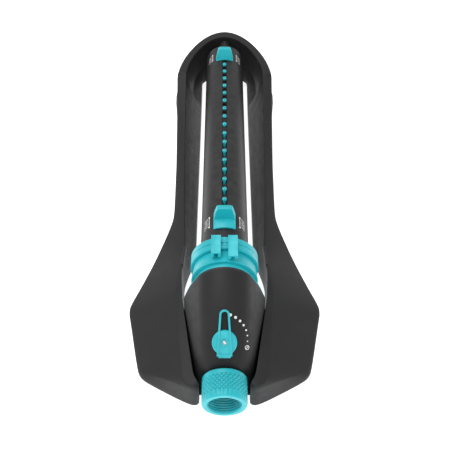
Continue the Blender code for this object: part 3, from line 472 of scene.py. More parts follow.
FOOT_Z = 1.5
LIP_Z = 4.0
INNER_FOOT_Z = FOOT_Z + 0.4
REAR_Y = 246.2
ARCH_START = 150.0
ARCH_X = 57.6
ARCH_RIDGE_X = 45.6
RIDGE_START = 31.0
RIDGE_START_Y = -82.0
RIDGE_RUN = 240.0
RIDGE_TOP = 68.0
OPENING_X = 29.2
AXIS_Z = 56.0
SHELL_WALL = 2.2


def ridge_height(y):
    """The ridge climbs from the wings to the arch."""
    share = min(1.0, max(0.0, (y - RIDGE_START_Y) / RIDGE_RUN))
    return RIDGE_START + (RIDGE_TOP - RIDGE_START) * share ** 1.6


def wing_rows():
    """Sections of a wing from the nut back: up from the foot, over edge, fold and ridge, and down inside."""
    climb = [(21.8, -233.0, FOOT_Z), (21.8, -232.6, LIP_Z), (21.7, -231.6, 14.0), (21.6, -230.6, 24.0)]
    rows = [climb + [(21.6, -230.0, 29.8)] + list(reversed(climb[1:]))]
    # foot (x, y), then edge, fold and ridge (x, y, z)
    table = [
        ((24.2, -235.3), (24.6, -233.0, 25.5), (24.4, -231.8, 28.8), (22.5, -227.6, 30.3)),
        ((30.0, -234.6), (31.0, -231.8, 26.0), (30.6, -230.6, 29.0), (23.0, -226.2, 30.5)),
        ((46.0, -226.6), (45.0, -222.6, 20.5), (35.0, -225.0, 29.0), (25.3, -222.4, 30.7)),
        ((68.0, -214.6), (66.2, -210.6, 9.5), (36.2, -219.0, 29.2), (26.8, -217.0, 31.0)),
        ((75.0, -209.0), (73.2, -206.4, 6.5), (37.0, -212.0, 29.4), (28.0, -210.0, 31.3)),
        ((78.2, -200.5), (76.6, -199.4, 5.5), (38.2, -203.0, 29.7), (29.4, -202.0, 31.6)),
        ((88.6, -153.0), (87.2, -152.4, 5.0), (43.4, -158.0, 30.5), (36.8, -158.0, 33.0)),
        ((91.5, -141.0), (90.0, -140.6, 5.0), (44.8, -147.0, 30.8), (38.6, -147.0, 33.4)),
        ((89.4, -131.5), (88.0, -131.6, 5.4), (45.4, -137.0, 31.0), (39.2, -137.0, 33.4)),
        ((80.7, -110.0), (79.2, -110.5, 8.7), (44.4, -119.0, 31.0), (40.6, -118.0, 33.0)),
        ((72.0, -88.5), (70.4, -89.4, 12.0), (43.2, -103.0, 31.0), (40.4, -104.0, 32.8)),
    ]
    for foot, edge, fold, ridge in table:
        inner = (ridge[0] - 0.6, ridge[1])
        # beside the opening the foot of the inner wall reaches further in
        spread = 2.2 if ridge[1] > -110.0 else 0.0
        rows.append(
            [
                (foot[0], foot[1], FOOT_Z),
                (foot[0] - 0.3, foot[1] + 0.3, LIP_Z),
                edge,
                fold,
                ridge,
                (inner[0] + 0.2 - spread * 0.2, inner[1], 24.0),
                (inner[0] - spread * 0.7, inner[1], 13.0),
                (inner[0] - 0.3 - spread, inner[1], INNER_FOOT_Z),
            ]
        )
    return rows


def leg_row(y, foot_x, ridge_x, ridge_y, edge_z, inner_x, inner_z):
    """One section of a leg, with as many points as a wing's."""
    top = ridge_height(ridge_y)
    return [
        (foot_x, y, FOOT_Z),
        (foot_x - 0.1, y, LIP_Z),
        (foot_x - 1.4, y, edge_z),
        (ridge_x + 1.2, ridge_y, top - 0.4),
        (ridge_x, ridge_y, top),
        (ridge_x * 0.45 + inner_x * 0.55, ridge_y, inner_z + 0.42 * (top - inner_z)),
        (inner_x, ridge_y, inner_z),
        (inner_x, ridge_y, INNER_FOOT_Z),
    ]


def leg_rows():
    """Sections of a leg: three that turn in from the wing, then straight across up to the arch."""
    rows = [
        leg_row(-61.0, 60.6, 38.6, -84.0, 20.0, OPENING_X + 1.8, 13.0),
        leg_row(-45.0, 54.8, 39.6, -72.0, 25.5, OPENING_X, 12.0),
        leg_row(-36.0, 53.6, 40.4, -58.0, 28.0, OPENING_X, 12.0),
    ]
    for y in (-15.0, 7.0, 30.0, 50.0, 70.0, 97.0, 125.0, ARCH_START):
        foot_x = straight([(-36.0, 53.6), (30.0, 54.2), (97.0, 56.0), (ARCH_START, ARCH_X)], y)
        ridge_x = straight([(-58.0, 40.4), (-17.0, 42.4), (67.0, 44.3), (ARCH_START, ARCH_RIDGE_X)], y)
        drop = straight([(-36.0, 6.5), (97.0, 4.0), (ARCH_START, 2.0)], y)
        rows.append(leg_row(y, foot_x, ridge_x, y, ridge_height(y) - drop, OPENING_X, 12.0))
    return rows


ARCH_WALL = [
    (40.0, 150.0), (39.6, 170.0), (38.6, 187.0), (36.5, 200.0), (33.0, 210.5),
    (28.5, 218.5), (22.0, 225.0), (15.0, 228.5), (7.5, 230.0), (0.0, 230.5),
]
OPENING_END = [
    (29.2, 150.0), (29.2, 172.0), (29.2, 192.0), (29.2, 204.0), (29.2, 211.0),
    (27.2, 215.9), (22.2, 218.0), (15.0, 218.0), (7.5, 218.0), (0.0, 218.0),
]


def arch_rail(side_x, rear_y, z, steps):
    """Half of the arch's outline at one height, from its start at the side to the far end."""
    depth = rear_y - ARCH_START
    side = Vector((side_x, ARCH_START, 0))
    side_handle = Vector((side_x * 0.985, ARCH_START + depth * 0.40, 0))
    rear_handle = Vector((side_x * 0.505, rear_y, 0))
    rear = Vector((0, rear_y, 0))
    points = interpolate_bezier(side, side_handle, rear_handle, rear, steps + 1)
    return [(p.x, p.y, z) for p in points]


def finer(points, parts):
    """A smooth path through points, with the given number of parts between each pair."""
    made = []
    numbered = list(enumerate(points))
    for i in range((len(points) - 1) * parts + 1):
        made.append(tuple(along([(n, p[axis]) for n, p in numbered], i / parts) for axis in (0, 1)))
    return made


def arch_rows(parts=3):
    """Sections round the arch: outer foot to inner foot, whose edge climbs to the sill of the opening."""
    steps = (len(ARCH_WALL) - 1) * parts
    ramp = [min(1.0, i / (3 * parts)) for i in range(steps + 1)]
    lift = [min(1.0, i / (5 * parts)) for i in range(steps + 1)]
    opening = finer(OPENING_END, parts)
    rails = [
        arch_rail(ARCH_X, REAR_Y, FOOT_Z, steps),
        arch_rail(57.5, REAR_Y - 0.1, LIP_Z, steps),
        arch_rail(56.2, REAR_Y - 0.8, RIDGE_TOP - 2.6, steps),
        arch_rail(54.0, REAR_Y - 3.0, RIDGE_TOP, steps),
        arch_rail(ARCH_RIDGE_X, REAR_Y - 15.0, RIDGE_TOP, steps),
        [(x, y, 30.0) for x, y in finer(ARCH_WALL, parts)],
        [(x, y, 12.0 + 2.0 * share) for (x, y), share in zip(opening, ramp)],
        [(x, y, INNER_FOOT_Z + 8.1 * share) for (x, y), share in zip(opening, lift)],
    ]
    return [list(row) for row in zip(*rails)][1:]


def base_shell():
    """The wings, legs and arch in one wall."""
    # a radius for each point of a row between its ends
    radii = (0.0, 1.6, 1.2, 0.9, 2.5, 1.5)
    rows = chaikin(wing_rows() + leg_rows()) + arch_rows()
    return shell("base_shell", CHARCOAL, [filleted(row, radii) for row in rows], SHELL_WALL)


FOOT_PLACES = ((74.0, -160.0), (-74.0, -160.0), (46.0, 140.0), (-46.0, 140.0))
BOSS_RADIUS = 6.0
BOSS_LOW = 3.3
LUG = ((37.3, -84.0), (39.9, -84.0), (42.2, -106.5), (39.5, -107.4))
LUG_HEIGHTS = (26.0, 33.8)
BEARING_BORE = 5.6
BEARING_CROWN = 7.4


def base_fittings():
    """Floor under the motor, foot bosses with their webs, and the post that carries the far bearing."""
    side = [(23.6, -226.0), (26.4, -215.0), (38.2, -153.0), (39.6, -138.0)]
    outline = side + [(-x, y) for x, y in reversed(side)]
    holes = [arc((x, -160.0), 1.9, 0.0, 337.5, 15) for x in (10.0, -10.0)]
    parts = [plate("floor", CHARCOAL, [outline] + holes, 2.0, 4.5)]
    for x, y in FOOT_PLACES:
        top = 8.3 if y < 0 else 14.0
        boss = [(0.0, BOSS_LOW), (BOSS_RADIUS, BOSS_LOW), (BOSS_RADIUS, top), (0.0, top)]
        parts.append(lathe("boss", CHARCOAL, boss, (x, y, 0), 0.0, 32))
        if y > 0:
            reach = math.copysign(55.4, x)
            low = (min(x, reach), y - 1.2, BOSS_LOW)
            high = (max(x, reach), y + 1.2, 13.0)
            parts.append(box_between("web", CHARCOAL, low, high))
    for way in (1, -1):
        lug = [(way * x, y) for x, y in LUG]
        parts.append(plate("lug", CHARCOAL, [lug], *LUG_HEIGHTS, edge=0.35))
    centre = (0, 0, AXIS_Z)
    post = box_between("post", CHARCOAL, (-6.0, 209.3, 13.2), (6.0, 228.8, AXIS_Z), 0.8)
    drill = [(0.0, 200.0), (BEARING_BORE, 200.0), (BEARING_BORE, 227.7), (0.0, 227.7)]
    bore = lathe("bore", CHARCOAL, drill, centre)
    crown = [(BEARING_BORE, 209.0), (BEARING_CROWN, 209.0), (BEARING_CROWN, 229.1), (BEARING_BORE, 229.1)]
    parts.append(cut_away(post, [bore]))
    parts.append(lathe("crown", CHARCOAL, round_profile(crown, 0.5), centre))
    return merge("base_fittings", parts)


def arch_cladding(steps=28, thickness=0.85):
    """The band round the arch, with a rolled upper edge."""
    # each height with how far the band is set in there
    heights = ((5.0, 0.0), (36.6, 0.0), (38.0, 0.5))
    rows = []
    for x, y in ((ARCH_X, 137.0), (57.7, 140.0)):
        rows.append([(x - inset, y, z) for z, inset in heights])
    rails = [arch_rail(58.0 - inset, REAR_Y + 0.4 - inset, z, steps) for z, inset in heights]
    rows += [list(row) for row in zip(*rails)]
    return shell("arch_cladding", CHARCOAL, rows, thickness, 1.0)


attach(base_shell(), "base", "charcoal_plastic", "base_frame")
attach(base_fittings(), "base", "charcoal_plastic")
attach(arch_cladding(), "base", "charcoal_plastic", "rear_bumper")

# ---------------------------------------------------------------- motor cover

COVER_TOP = [(-221, 42), (-214, 47.5), (-205, 54.5), (-190, 64.5), (-175, 73), (-160, 80), (-149, 84.3)]
COVER_ARC = [(-221, 21.0), (-205, 24.0), (-185, 25.6), (-165, 26.4), (-149, 26.6)]
COVER_SIDE = [(-221, 24.2), (-202, 28.2), (-158, 35.6), (-147, 37.4)]
COVER_LOW = [(-221, 16.0), (-205, 22.0), (-180, 30.0), (-147, 38.0)]
COVER_FOOT = 4.8
COVER_FRONT = -221.0
COVER_TIP = -221.8
COVER_WALL = 2.0
HOUSING_FRONT = -149.0
COVER_REAR = HOUSING_FRONT - 0.3
STATION_PITCH = 2.5


def bell_section(y, inset=0.0, steps=20):
    """Half of the cover's outline at one station: side wall, bulging shoulder and round top."""
    top = along(COVER_TOP, y) - inset
    radius = along(COVER_ARC, y) - inset
    side = straight(COVER_SIDE, y) - inset
    low = along(COVER_LOW, y) - inset
    over = arc((0.0, top - radius), radius, 28.0, 90.0, steps)
    shoulder_x, shoulder_z = over[0]
    points = [(side, COVER_FOOT), (side, low - 1.5), (side, low)]
    for step in range(1, 6):
        share = step / 6
        bulge = 1.2 * math.sin(math.pi * share)
        points.append((side + (shoulder_x - side) * share + bulge, low + (shoulder_z - low) * share))
    for x, z in over:
        points.append((abs(x) if abs(x) > 0.001 else 0.0, z))
    return points


def motor_cover():
    """The bell, with a rounded nose behind the nut."""
    rows = []
    stations = [COVER_REAR - STATION_PITCH * i for i in range(27)]
    for y in stations:
        rows.append([(x, y, z) for x, z in bell_section(y)])
    nose_start = stations[-1]
    nose_depth = nose_start - COVER_TIP
    for degrees in (15, 30, 45, 60, 75, 90):
        turn = math.radians(degrees)
        y = nose_start - nose_depth * math.sin(turn)
        section = bell_section(max(y, COVER_FRONT), 6.0 * (1 - math.cos(turn)))
        rows.append([(x, y, z) for x, z in section])
    rows.append([(0.0, COVER_TIP, z) for x, y, z in rows[-1]])
    return shell("motor_cover_shell", CHARCOAL, [list(reversed(row)) for row in rows], COVER_WALL)


cover = attach(motor_cover(), "base", "charcoal_plastic", "motor_cover")

# ---------------------------------------------------------------- drive housing and range rings

SLEEVE_RADIUS = 26.3
SLEEVE_REAR = -117.6
HOUSING_BORE = 24.3
SHAFT_HOLE = 9.0
END_WALL = 2.4
COLLAR_REAR = -131.1
COLLAR_REAR_RADIUS = 27.9
COLLAR_FRONT_RADIUS = 29.6
FLANGE_REAR = -143.6
HOUSING_END = -144.4


def drive_housing():
    """Sleeve under the rings, a collar that flares towards the cover, and the flange the cover meets."""
    wall = SLEEVE_REAR - END_WALL
    profile = [(SLEEVE_RADIUS, SLEEVE_REAR), (SLEEVE_RADIUS, COLLAR_REAR), (COLLAR_REAR_RADIUS, COLLAR_REAR)]
    profile += [(COLLAR_FRONT_RADIUS, FLANGE_REAR), (COLLAR_FRONT_RADIUS, HOUSING_END)]
    profile += [(HOUSING_BORE, HOUSING_END), (HOUSING_BORE, wall)]
    profile += [(SHAFT_HOLE, wall), (SHAFT_HOLE, SLEEVE_REAR)]
    body = lathe("housing", TURQUOISE, round_profile(profile, 0.4), (0, 0, AXIS_Z), steps=128)
    half = bell_section(HOUSING_FRONT, 1.5, 28)
    outline = half + [(-x, z) for x, z in reversed(half[:-1])]
    hole = arc((0.0, AXIS_Z), HOUSING_BORE + 0.3, 0.0, 357.0, 119)
    flange = plate("flange", TURQUOISE, [outline, hole], HOUSING_FRONT, FLANGE_REAR - 0.1, upright=True)
    return merge("drive_housing_shell", [body, flange])


RING_OUTER = 30.6
RING_INNER = 26.7
RING_ENDS_FRONT = (-130.7, -124.55)
RING_ENDS_REAR = (-124.15, -118.0)
TAB_TOP = 92.0
TAB_WIDTH = 8.4
TAB_WALL = 2.6
TAB_ROOF = 1.6
TAB_REAR = -120.2
TAB_SEAT = 83.6
FRONT_TAB_LEFT = -11.6
REAR_TAB_LEFT = 3.1
# (y, lower edge of the walls) along each tab; the walls reach down to their own ring
FRONT_TAB = [
    (-140.4, 85.6), (-131.0, 85.6), (-130.5, TAB_SEAT),
    (-124.9, TAB_SEAT), (-124.6, 87.2), (TAB_REAR, 87.2),
]
REAR_TAB = [(FLANGE_REAR, 87.6), (-124.6, 87.6), (-124.0, TAB_SEAT), (TAB_REAR, TAB_SEAT)]


def channel(left, stations):
    """A tab: an upside-down trough along Y whose walls reach down to a height given at each station."""
    right = left + TAB_WIDTH
    roof = TAB_TOP - TAB_ROOF
    work = bmesh.new()
    loops = []
    for y, low in stations:
        outline = [(left, low), (left, TAB_TOP), (right, TAB_TOP), (right, low)]
        outline += [(right - TAB_WALL, low), (right - TAB_WALL, roof)]
        outline += [(left + TAB_WALL, roof), (left + TAB_WALL, low)]
        loops.append([work.verts.new(Vector((x, y, z)) * MM) for x, z in outline])
    for near, far in zip(loops, loops[1:]):
        for j in range(8):
            k = (j + 1) % 8
            work.faces.new((near[j], near[k], far[k], far[j]))
    for loop in (loops[0], loops[-1]):
        for corners in ((0, 1, 6, 7), (1, 2, 5, 6), (2, 3, 4, 5)):
            work.faces.new([loop[i] for i in corners])
    bmesh.ops.recalc_face_normals(work, faces=work.faces)
    return shade(soften(new_object("tab", work, TURQUOISE), 0.45, 3))


def range_ring(name, ends, left, stations):
    """A stop ring with its thumb tab."""
    low, high = ends
    profile = [(RING_OUTER, low), (RING_OUTER, high), (RING_INNER, high), (RING_INNER, low)]
    body = lathe("ring", TURQUOISE, round_profile(profile, 0.3), (0, 0, AXIS_Z), steps=128)
    return merge(name, [body, channel(left, stations)])


attach(drive_housing(), "base", "turquoise_plastic", "drive_housing")
front_ring = range_ring("range_ring_front_shell", RING_ENDS_FRONT, FRONT_TAB_LEFT, FRONT_TAB)
rear_ring = range_ring("range_ring_rear_shell", RING_ENDS_REAR, REAR_TAB_LEFT, REAR_TAB)
attach(front_ring, "ring_front", "turquoise_plastic", "range_ring_front")
attach(rear_ring, "ring_rear", "turquoise_plastic", "range_ring_rear")

# ---------------------------------------------------------------- hose nut

INLET_Z = 26.0
NUT_RADIUS = 19.0
NUT_REAR = -223.0
NUT_FRONT = -247.5
GRIP_FRONT = -244.8
GRIP_REAR = -226.6
KNURL_PITCH = 1.9
KNURL_DEPTH = 0.95
KNURL_FADE = 0.8
THREAD_RADIUS = 13.6
THREAD_PITCH = 2.2
THREAD_DEPTH = 0.9
NUT_BORE = 10.5


def knurl(turn, radius, height):
    """Raised diamonds on the grip band, and a screw thread inside."""
    if radius > NUT_RADIUS - 1.0 and GRIP_FRONT < height < GRIP_REAR:
        across = turn * NUT_RADIUS / KNURL_PITCH * math.pi * 0.5
        run = height / KNURL_PITCH * math.pi * 0.5
        fade = min(1.0, (height - GRIP_FRONT) / KNURL_FADE, (GRIP_REAR - height) / KNURL_FADE)
        bumps = abs(math.sin(across + run) * math.sin(across - run))
        return -KNURL_DEPTH * fade * (1.0 - min(1.0, bumps * 2.2))
    if THREAD_RADIUS - 0.6 < radius < THREAD_RADIUS + 0.4 and -245.0 < height < -232.0:
        thread = (height / THREAD_PITCH + turn / math.tau) % 1.0
        return THREAD_DEPTH * abs(2.0 * thread - 1.0)
    return 0.0


def hose_nut():
    """The grip outside in steps fine enough for the diamonds, the threaded socket inside."""
    outer = [(18.2, NUT_REAR), (NUT_RADIUS, -224.2)] + [(NUT_RADIUS, -225.0 - 0.4 * i) for i in range(43)]
    outer += [(NUT_RADIUS, -245.6), (18.7, -246.6), (18.0, NUT_FRONT)]
    inner = [(14.9, NUT_FRONT), (14.2, -247.0), (13.7, -246.2)]
    inner += [(THREAD_RADIUS, -245.6 + 0.35 * i) for i in range(40)]
    inner += [(THREAD_RADIUS, -226.0), (NUT_BORE, -226.0), (NUT_BORE, NUT_REAR)]
    return lathe("hose_nut", TURQUOISE, outer + inner, (0, 0, INLET_Z), steps=220, wobble=knurl)


attach(hose_nut(), "nut", "turquoise_plastic", "inlet_nut")

# ---------------------------------------------------------------- flow lever

VALVE_LEAN = math.radians(35.0)
LEVER_AT = (0.0, -205.0, 54.5)
LOOP_END = 27.0
LOOP_WIDTH = 8.6
LOOP_WALL = 1.7
DISC_RADIUS = 10.4
TOE_END = -12.4


def lean_over(obj):
    """Put a piece made flat at the origin on the lever's slanted seat."""
    obj.data.transform(axis_frame(LEVER_AT, VALVE_LEAN))
    return obj


def loop_outline(inset, start, end, base_width):
    """The pointer's outline, narrowing to a round tip."""
    tip = (LOOP_WIDTH - inset * 2) / 2
    foot = (base_width - inset * 2) / 2
    return [(foot, start)] + arc((0.0, end - tip), tip, 0.0, 180.0, 16) + [(-foot, start)]


def flow_lever():
    """Disc, looped pointer, the seat and ledge of the screw, and the toe at the back of the disc."""
    disc = [(3.3, 0.8), (DISC_RADIUS, 0.8), (DISC_RADIUS, 3.6), (DISC_RADIUS - 1.0, 4.6)]
    disc += [(5.6, 4.6), (4.4, 4.2), (4.4, 3.8), (3.3, 3.8)]
    parts = [lathe("disc", TURQUOISE, round_profile(disc, 0.35), LEVER_AT, VALVE_LEAN, 96)]
    rim = loop_outline(0.0, -11.0, LOOP_END, 13.0)
    hollow = loop_outline(LOOP_WALL, -9.2, LOOP_END - LOOP_WALL, 12.7)
    parts.append(lean_over(plate("loop", TURQUOISE, [rim, hollow], 2.4, 6.2)))
    seat = [(4.9, -9.6), (4.9, 9.4), (-4.9, 9.4), (-4.9, -9.6)]
    bore = arc((0.0, 0.0), 3.1, 0.0, 348.75, 31)
    parts.append(lean_over(plate("seat", TURQUOISE, [seat, bore], 2.6, 5.4, edge=0.25)))
    ledge = [(1.5, 4.22), (3.2, 4.22), (3.2, 4.4), (1.5, 4.4)]
    parts.append(lathe("ledge", TURQUOISE, ledge, LEVER_AT, VALVE_LEAN, 48))
    toe = [(5.2, TOE_END), (5.2, -6.0), (-5.2, -6.0), (-5.2, TOE_END)]
    parts.append(lean_over(plate("toe", TURQUOISE, [toe], 0.9, 5.0, edge=0.6)))
    return merge("flow_lever_shell", parts)


def lever_screw():
    """A pan head with a cross recess, on a plain shank."""
    shank = [(0.0, 4.5), (1.1, 4.5), (1.1, 5.0), (1.75, 5.0), (1.75, 5.3), (1.5, 5.65), (0.9, 5.85), (0.0, 5.9)]
    head = lathe("head", STEEL, shank, LEVER_AT, VALVE_LEAN, 48)
    across = box_between("cross", STEEL, (-1.0, -0.2, 5.5), (1.0, 0.2, 7.0), 0)
    upright = box_between("cross", STEEL, (-0.2, -1.0, 5.55), (0.2, 1.0, 7.0), 0)
    screw = cut_away(head, [lean_over(across), lean_over(upright)])
    screw.name = "lever_screw_head"
    return screw


attach(flow_lever(), "lever", "turquoise_plastic", "flow_lever")
attach(lever_screw(), "lever", "bright_steel", "lever_screw")

# ---------------------------------------------------------------- spray tube

TUBE_RADIUS = 22.0
TUBE_WALL = 2.0
TUBE_FRONT = -115.0
TUBE_REAR = 195.0
NOZZLES = 17
NOZZLE_PITCH = 13.65
NOZZLE_CENTRE_Y = 44.2
NOZZLE_LEAN = math.radians(13.0)
NOZZLE_PIVOT_Z = AXIS_Z + 6.0
COMB_HEIGHT = 12.4
HEAD_HEIGHT = 19.5
SLIDER_TRAVEL = 6.0
SLIDERS = (("front", -1, -101.0, -81.0), ("rear", 1, 164.4, 175.0))
POSTS = ((-1, -89.0), (1, 169.7))
SLOT_LOW = 72.0
SLOT_HIGH = 81.0
JET_SLOT_HALF = 2.1
JET_ROOM = 2.0
JET_SLACK = 1.1
POST_SLOT_HALF = 2.6
POST_ROOM = 4.4
POST_SLACK = 0.2


def head_positions():
    """Each jet's number, its half (-1, 0 or 1) and the y of its pivot."""
    places = []
    for number in range(NOZZLES):
        step = number - NOZZLES // 2
        side = (step > 0) - (step < 0)
        head = NOZZLE_CENTRE_Y + step * NOZZLE_PITCH
        places.append((number + 1, side, head + side * HEAD_HEIGHT * math.sin(NOZZLE_LEAN)))
    return places


def opened(middle, side, room, travel):
    """The ends of a slot that leaves room for travel towards one side."""
    return middle - room - (travel if side < 0 else 0.0), middle + room + (travel if side > 0 else 0.0)


def tube_cover():
    """The tube's upper shell with a slot for each jet and for each slider's post."""
    centre = (0.0, AXIS_Z)
    outside = arc(centre, TUBE_RADIUS, -25.0, 205.0, 92)
    inside = arc(centre, TUBE_RADIUS - TUBE_WALL, 205.0, -25.0, 92)
    tube = plate("tube_cover", TUBE_BLACK, [outside + inside], TUBE_FRONT, TUBE_REAR, upright=True, edge=0)
    slots = []
    height = AXIS_Z + TUBE_RADIUS - 1.0 - NOZZLE_PIVOT_Z
    for _, side, pivot in head_positions():
        middle = pivot - side * height * math.tan(NOZZLE_LEAN)
        travel = abs(side) * (SLIDER_TRAVEL * height / COMB_HEIGHT + JET_SLACK)
        near, far = opened(middle, side, JET_ROOM, travel)
        low, high = (-JET_SLOT_HALF, near, SLOT_LOW), (JET_SLOT_HALF, far, SLOT_HIGH)
        slots.append(box_between("slot", TUBE_BLACK, low, high, 0.6))
    for side, middle in POSTS:
        near, far = opened(middle, side, POST_ROOM, SLIDER_TRAVEL + POST_SLACK)
        low, high = (-POST_SLOT_HALF, near, SLOT_LOW), (POST_SLOT_HALF, far, SLOT_HIGH)
        slots.append(box_between("slot", TUBE_BLACK, low, high))
    return cut_away(tube, [merge("slots", slots)])


def nozzle(number, side, pivot):
    """A bored jet: rounded head, slim neck and ball foot."""
    tip = HEAD_HEIGHT + 0.3
    crown = 1.3
    dome = [(0.55, tip - 0.15), (0.8, tip)]
    dome += [(0.8 + crown * math.sin(a), tip - crown + crown * math.cos(a)) for a in (0.4, 0.8, 1.2, 1.57)]
    dome += [(2.1, tip - 2.3), (1.9, tip - 2.8), (1.5, tip - 3.1)]
    stem = [(1.45, 2.0), (2.15, 0.5), (2.0, -1.0), (1.3, -1.8), (0.55, -2.1)]
    at = (0, pivot, NOZZLE_PIVOT_Z)
    return lathe(f"jet_{number:02d}_body", TURQUOISE, dome + stem, at, side * NOZZLE_LEAN, 24)


SADDLE_RADIUS = 24.2
SADDLE_BORE = 22.3
FIN_FOOT = 79.0
FIN_TOP = 91.6
FIN_CORNER = 2.0
FIN_LAYERS = 12
FIN_COLUMNS = 10


def slider(name, side, start, end):
    """A saddle on the tube and a leaning thumb fin whose foot follows the tube."""
    centre = (0.0, AXIS_Z)
    section = arc(centre, SADDLE_RADIUS, 64.9, 115.1, 24) + arc(centre, SADDLE_BORE, 114.9, 65.1, 24)
    saddle = plate("saddle", TURQUOISE, [section], start, end, upright=True, edge=0.5)
    inner = end if side < 0 else start
    work = bmesh.new()
    layers = []
    for step in range(FIN_LAYERS + 1):
        share = step / FIN_LAYERS
        height = FIN_FOOT + (FIN_TOP - FIN_FOOT) * share
        corner = max(0.0, (height - 89.6) / FIN_CORNER)
        half = 10.2 - 3.3 * share - FIN_CORNER * (1.0 - math.sqrt(max(0.0, 1.0 - corner * corner)))
        near = inner + side * (0.2 + 2.8 * share)
        far = inner + side * (9.0 - share)
        settle = max(0.0, 1.0 - share * 2.4)
        face = []
        for column in range(FIN_COLUMNS + 1):
            x = half * (column / (FIN_COLUMNS / 2) - 1.0)
            drop = 24.0 - math.sqrt(24.0 ** 2 - x * x)
            face.append((x, near, height - settle * drop))
        back = [(x, far, z) for x, _, z in reversed(face)]
        layers.append([work.verts.new(Vector(p) * MM) for p in face + back])
    count = len(layers[0])
    for low, high in zip(layers, layers[1:]):
        for j in range(count):
            k = (j + 1) % count
            work.faces.new((low[j], low[k], high[k], high[j]))
    for layer, order in ((layers[0], -1), (layers[-1], 1)):
        for j in range(count // 2 - 1):
            work.faces.new([layer[i] for i in (j, j + 1, count - 2 - j, count - 1 - j)][::order])
    bmesh.ops.recalc_face_normals(work, faces=work.faces)
    fin = soften(new_object("fin", work, TURQUOISE), 0.6, 3)
    return merge(f"{name}_slider_shell", [saddle, shade(fin)])


attach(tube_cover(), "tube", "charcoal_plastic", "spray_tube")
for number, side, pivot in head_positions():
    body = "tube" if side == 0 else f"jet_{number:02d}"
    attach(nozzle(number, side, pivot), body, "turquoise_plastic", f"nozzle_{number:02d}")
for name, side, start, end in SLIDERS:
    attach(slider(name, side, start, end), f"slider_{name}", "turquoise_plastic", f"{name}_slider")

# ---------------------------------------------------------------- printed marks


RAY_HEIGHT = 30.0
INK_OUT = 0.06
INK_IN = 0.04


def printed(name, shapes, target, origin, right, up, body):
    """Flat shapes (points and faces in a plane) laid on a surface, with the thickness of ink."""
    right, up = Vector(right), Vector(up)
    facing = right.cross(up)
    depsgraph = bpy.context.evaluated_depsgraph_get()
    tree = BVHTree.FromObject(target, depsgraph)
    work = bmesh.new()
    for points, faces in shapes:
        laid = []
        for u, v in points:
            start = (Vector(origin) + right * u + up * v + facing * RAY_HEIGHT) * MM
            hit, normal, _, _ = tree.ray_cast(start, -facing)
            laid.append((hit, normal))
        top = [work.verts.new(hit + normal * INK_OUT * MM) for hit, normal in laid]
        low = [work.verts.new(hit - normal * INK_IN * MM) for hit, normal in laid]
        for face in faces:
            work.faces.new([top[i] for i in face])
            work.faces.new([low[i] for i in reversed(face)])
        edges = {(a, b) for face in faces for a, b in zip(face, face[1:] + face[:1])}
        for a, b in sorted(edges):
            if (b, a) not in edges:
                work.faces.new((top[b], top[a], low[a], low[b]))
    obj = new_object(name, work, WHITE)
    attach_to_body(obj, body)
    return obj


def circle(centre, radius, steps):
    """Points round a full circle, the first one not repeated."""
    turns = [math.tau * i / steps for i in range(steps)]
    return [(centre[0] + radius * math.cos(turn), centre[1] + radius * math.sin(turn)) for turn in turns]


def dot(centre, radius, steps=20):
    """A disc as a fan of triangles."""
    faces = [(0, i + 1, (i + 1) % steps + 1) for i in range(steps)]
    return [centre] + circle(centre, radius, steps), faces


def ring(centre, outer, inner, steps=24):
    """A ring of quads."""
    faces = [(i, (i + 1) % steps, steps + (i + 1) % steps, steps + i) for i in range(steps)]
    return circle(centre, outer, steps) + circle(centre, inner, steps), faces


def stroke(start, end, width, pieces=6):
    """A straight line as a strip of quads."""
    run = Vector(end) - Vector(start)
    side = Vector((-run.y, run.x)).normalized() * width / 2
    points = []
    for i in range(pieces + 1):
        middle = Vector(start) + run * i / pieces
        points += [tuple(middle - side), tuple(middle + side)]
    faces = [(2 * i, 2 * i + 2, 2 * i + 3, 2 * i + 1) for i in range(pieces)]
    return points, faces


def bearing(degrees, reach):
    """A point round the lever's hub, clockwise from its pointer."""
    turn = math.radians(degrees)
    return reach * math.sin(turn), reach * math.cos(turn)


def flow_marks():
    """Dots that shrink from full flow towards an off sign."""
    shapes = []
    for step in range(7):
        place = bearing(12.1 + 12.2 * step + 0.016 * step ** 3, 22.9 - 3.7 * step / 6)
        shapes.append(dot(place, 1.36 - 0.14 * step))
    x, y = bearing(104.4, 19.5)
    reach = 0.95
    shapes.append(ring((x, y), 1.9, 1.4))
    shapes.append(stroke((x - reach, y - reach), (x + reach, y + reach), 0.45))
    up = (0.0, math.cos(VALVE_LEAN), math.sin(VALVE_LEAN))
    printed("flow_marks", shapes, cover, LEVER_AT, (1.0, 0.0, 0.0), up, "base")


MARK_X = 14.2
HATCH_X = (15.5, 18.6)
HATCH_PITCH = 2.0


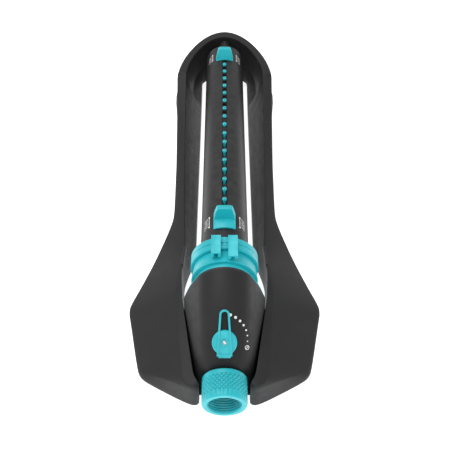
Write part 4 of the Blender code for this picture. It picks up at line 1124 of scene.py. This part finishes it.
def width_marks(name, middle, half):
    """Beside each slider: a double-ended line and a fan of hatching, on both sides."""
    shapes = []
    for way in (-1, 1):
        line_x = way * MARK_X
        shapes.append(stroke((line_x, middle - half), (line_x, middle + half), 0.5, 8))
        shapes.append(dot((line_x, middle - half), 0.75, 12))
        shapes.append(dot((line_x, middle + half), 0.75, 12))
        for step in range(6):
            shift = half - 0.2 - HATCH_PITCH * step
            start = (way * HATCH_X[0], middle + shift)
            end = (way * HATCH_X[1], middle + shift - 2.2)
            shapes.append(stroke(start, end, 0.32))
    target = bpy.data.objects["tube_cover"]
    printed(f"{name}_marks", shapes, target, (0.0, 0.0, AXIS_Z), (1.0, 0.0, 0.0), (0.0, 1.0, 0.0), "tube")


flow_marks()
width_marks("front", -89.0, 6.0)
width_marks("rear", 176.5, 5.7)

# ---------------------------------------------------------------- floor, light, camera


def floor():
    """White paper that glows a little, so that its far part stays white."""
    material, tree, shader = nodes_of("floor_paper")
    place = node(tree, "ShaderNodeTexCoord").outputs["Object"]
    cloud = mapped(tree, noise(tree, place, 6.0), 0.0, 1.0)
    tone = mixed(tree, cloud, (0.90, 0.90, 0.90), (0.93, 0.93, 0.93))
    tree.links.new(tone, shader.inputs["Base Color"])
    shader.inputs["Roughness"].default_value = 0.9
    shader.inputs["Emission Color"].default_value = (1.0, 1.0, 1.0, 1.0)
    shader.inputs["Emission Strength"].default_value = 0.85
    work = bmesh.new()
    bmesh.ops.create_grid(work, x_segments=2, y_segments=2, size=6.0)
    new_object("floor", work, material)


def area(name, size, energy, at, aim):
    """A soft light; places in metres."""
    light = bpy.data.lights.new(name, "AREA")
    light.shape = "RECTANGLE"
    light.size, light.size_y = size
    light.energy = energy
    obj = bpy.data.objects.new(name, light)
    obj.location = at
    obj.rotation_euler = (Vector(aim) - Vector(at)).to_track_quat("-Z", "Y").to_euler()
    scene.collection.objects.link(obj)


floor()
area("key", (1.6, 1.2), 15.5, (-0.5, 0.1, 1.6), (0, 0, 0.03))
area("front", (1.6, 1.0), 6.0, (0.3, -1.5, 1.2), (0, -0.05, 0.03))
world = bpy.data.worlds.new("studio")
world.use_nodes = True
background = world.node_tree.nodes["Background"]
background.inputs["Color"].default_value = (1.0, 1.0, 1.0, 1.0)
background.inputs["Strength"].default_value = 0.55
scene.world = world
scene.view_settings.view_transform = "Standard"

# the camera looks 48.5 degrees down along the tube
lens = bpy.data.cameras.new("camera")
lens.lens = 50.3
lens.shift_x = 0.001
lens.sensor_width = 36.0
eye = bpy.data.objects.new("camera", lens)
eye.location = (0.0, -0.4764, 0.5075)
eye.rotation_euler = (math.radians(41.5), 0.0, 0.0)
scene.collection.objects.link(eye)
scene.camera = eye
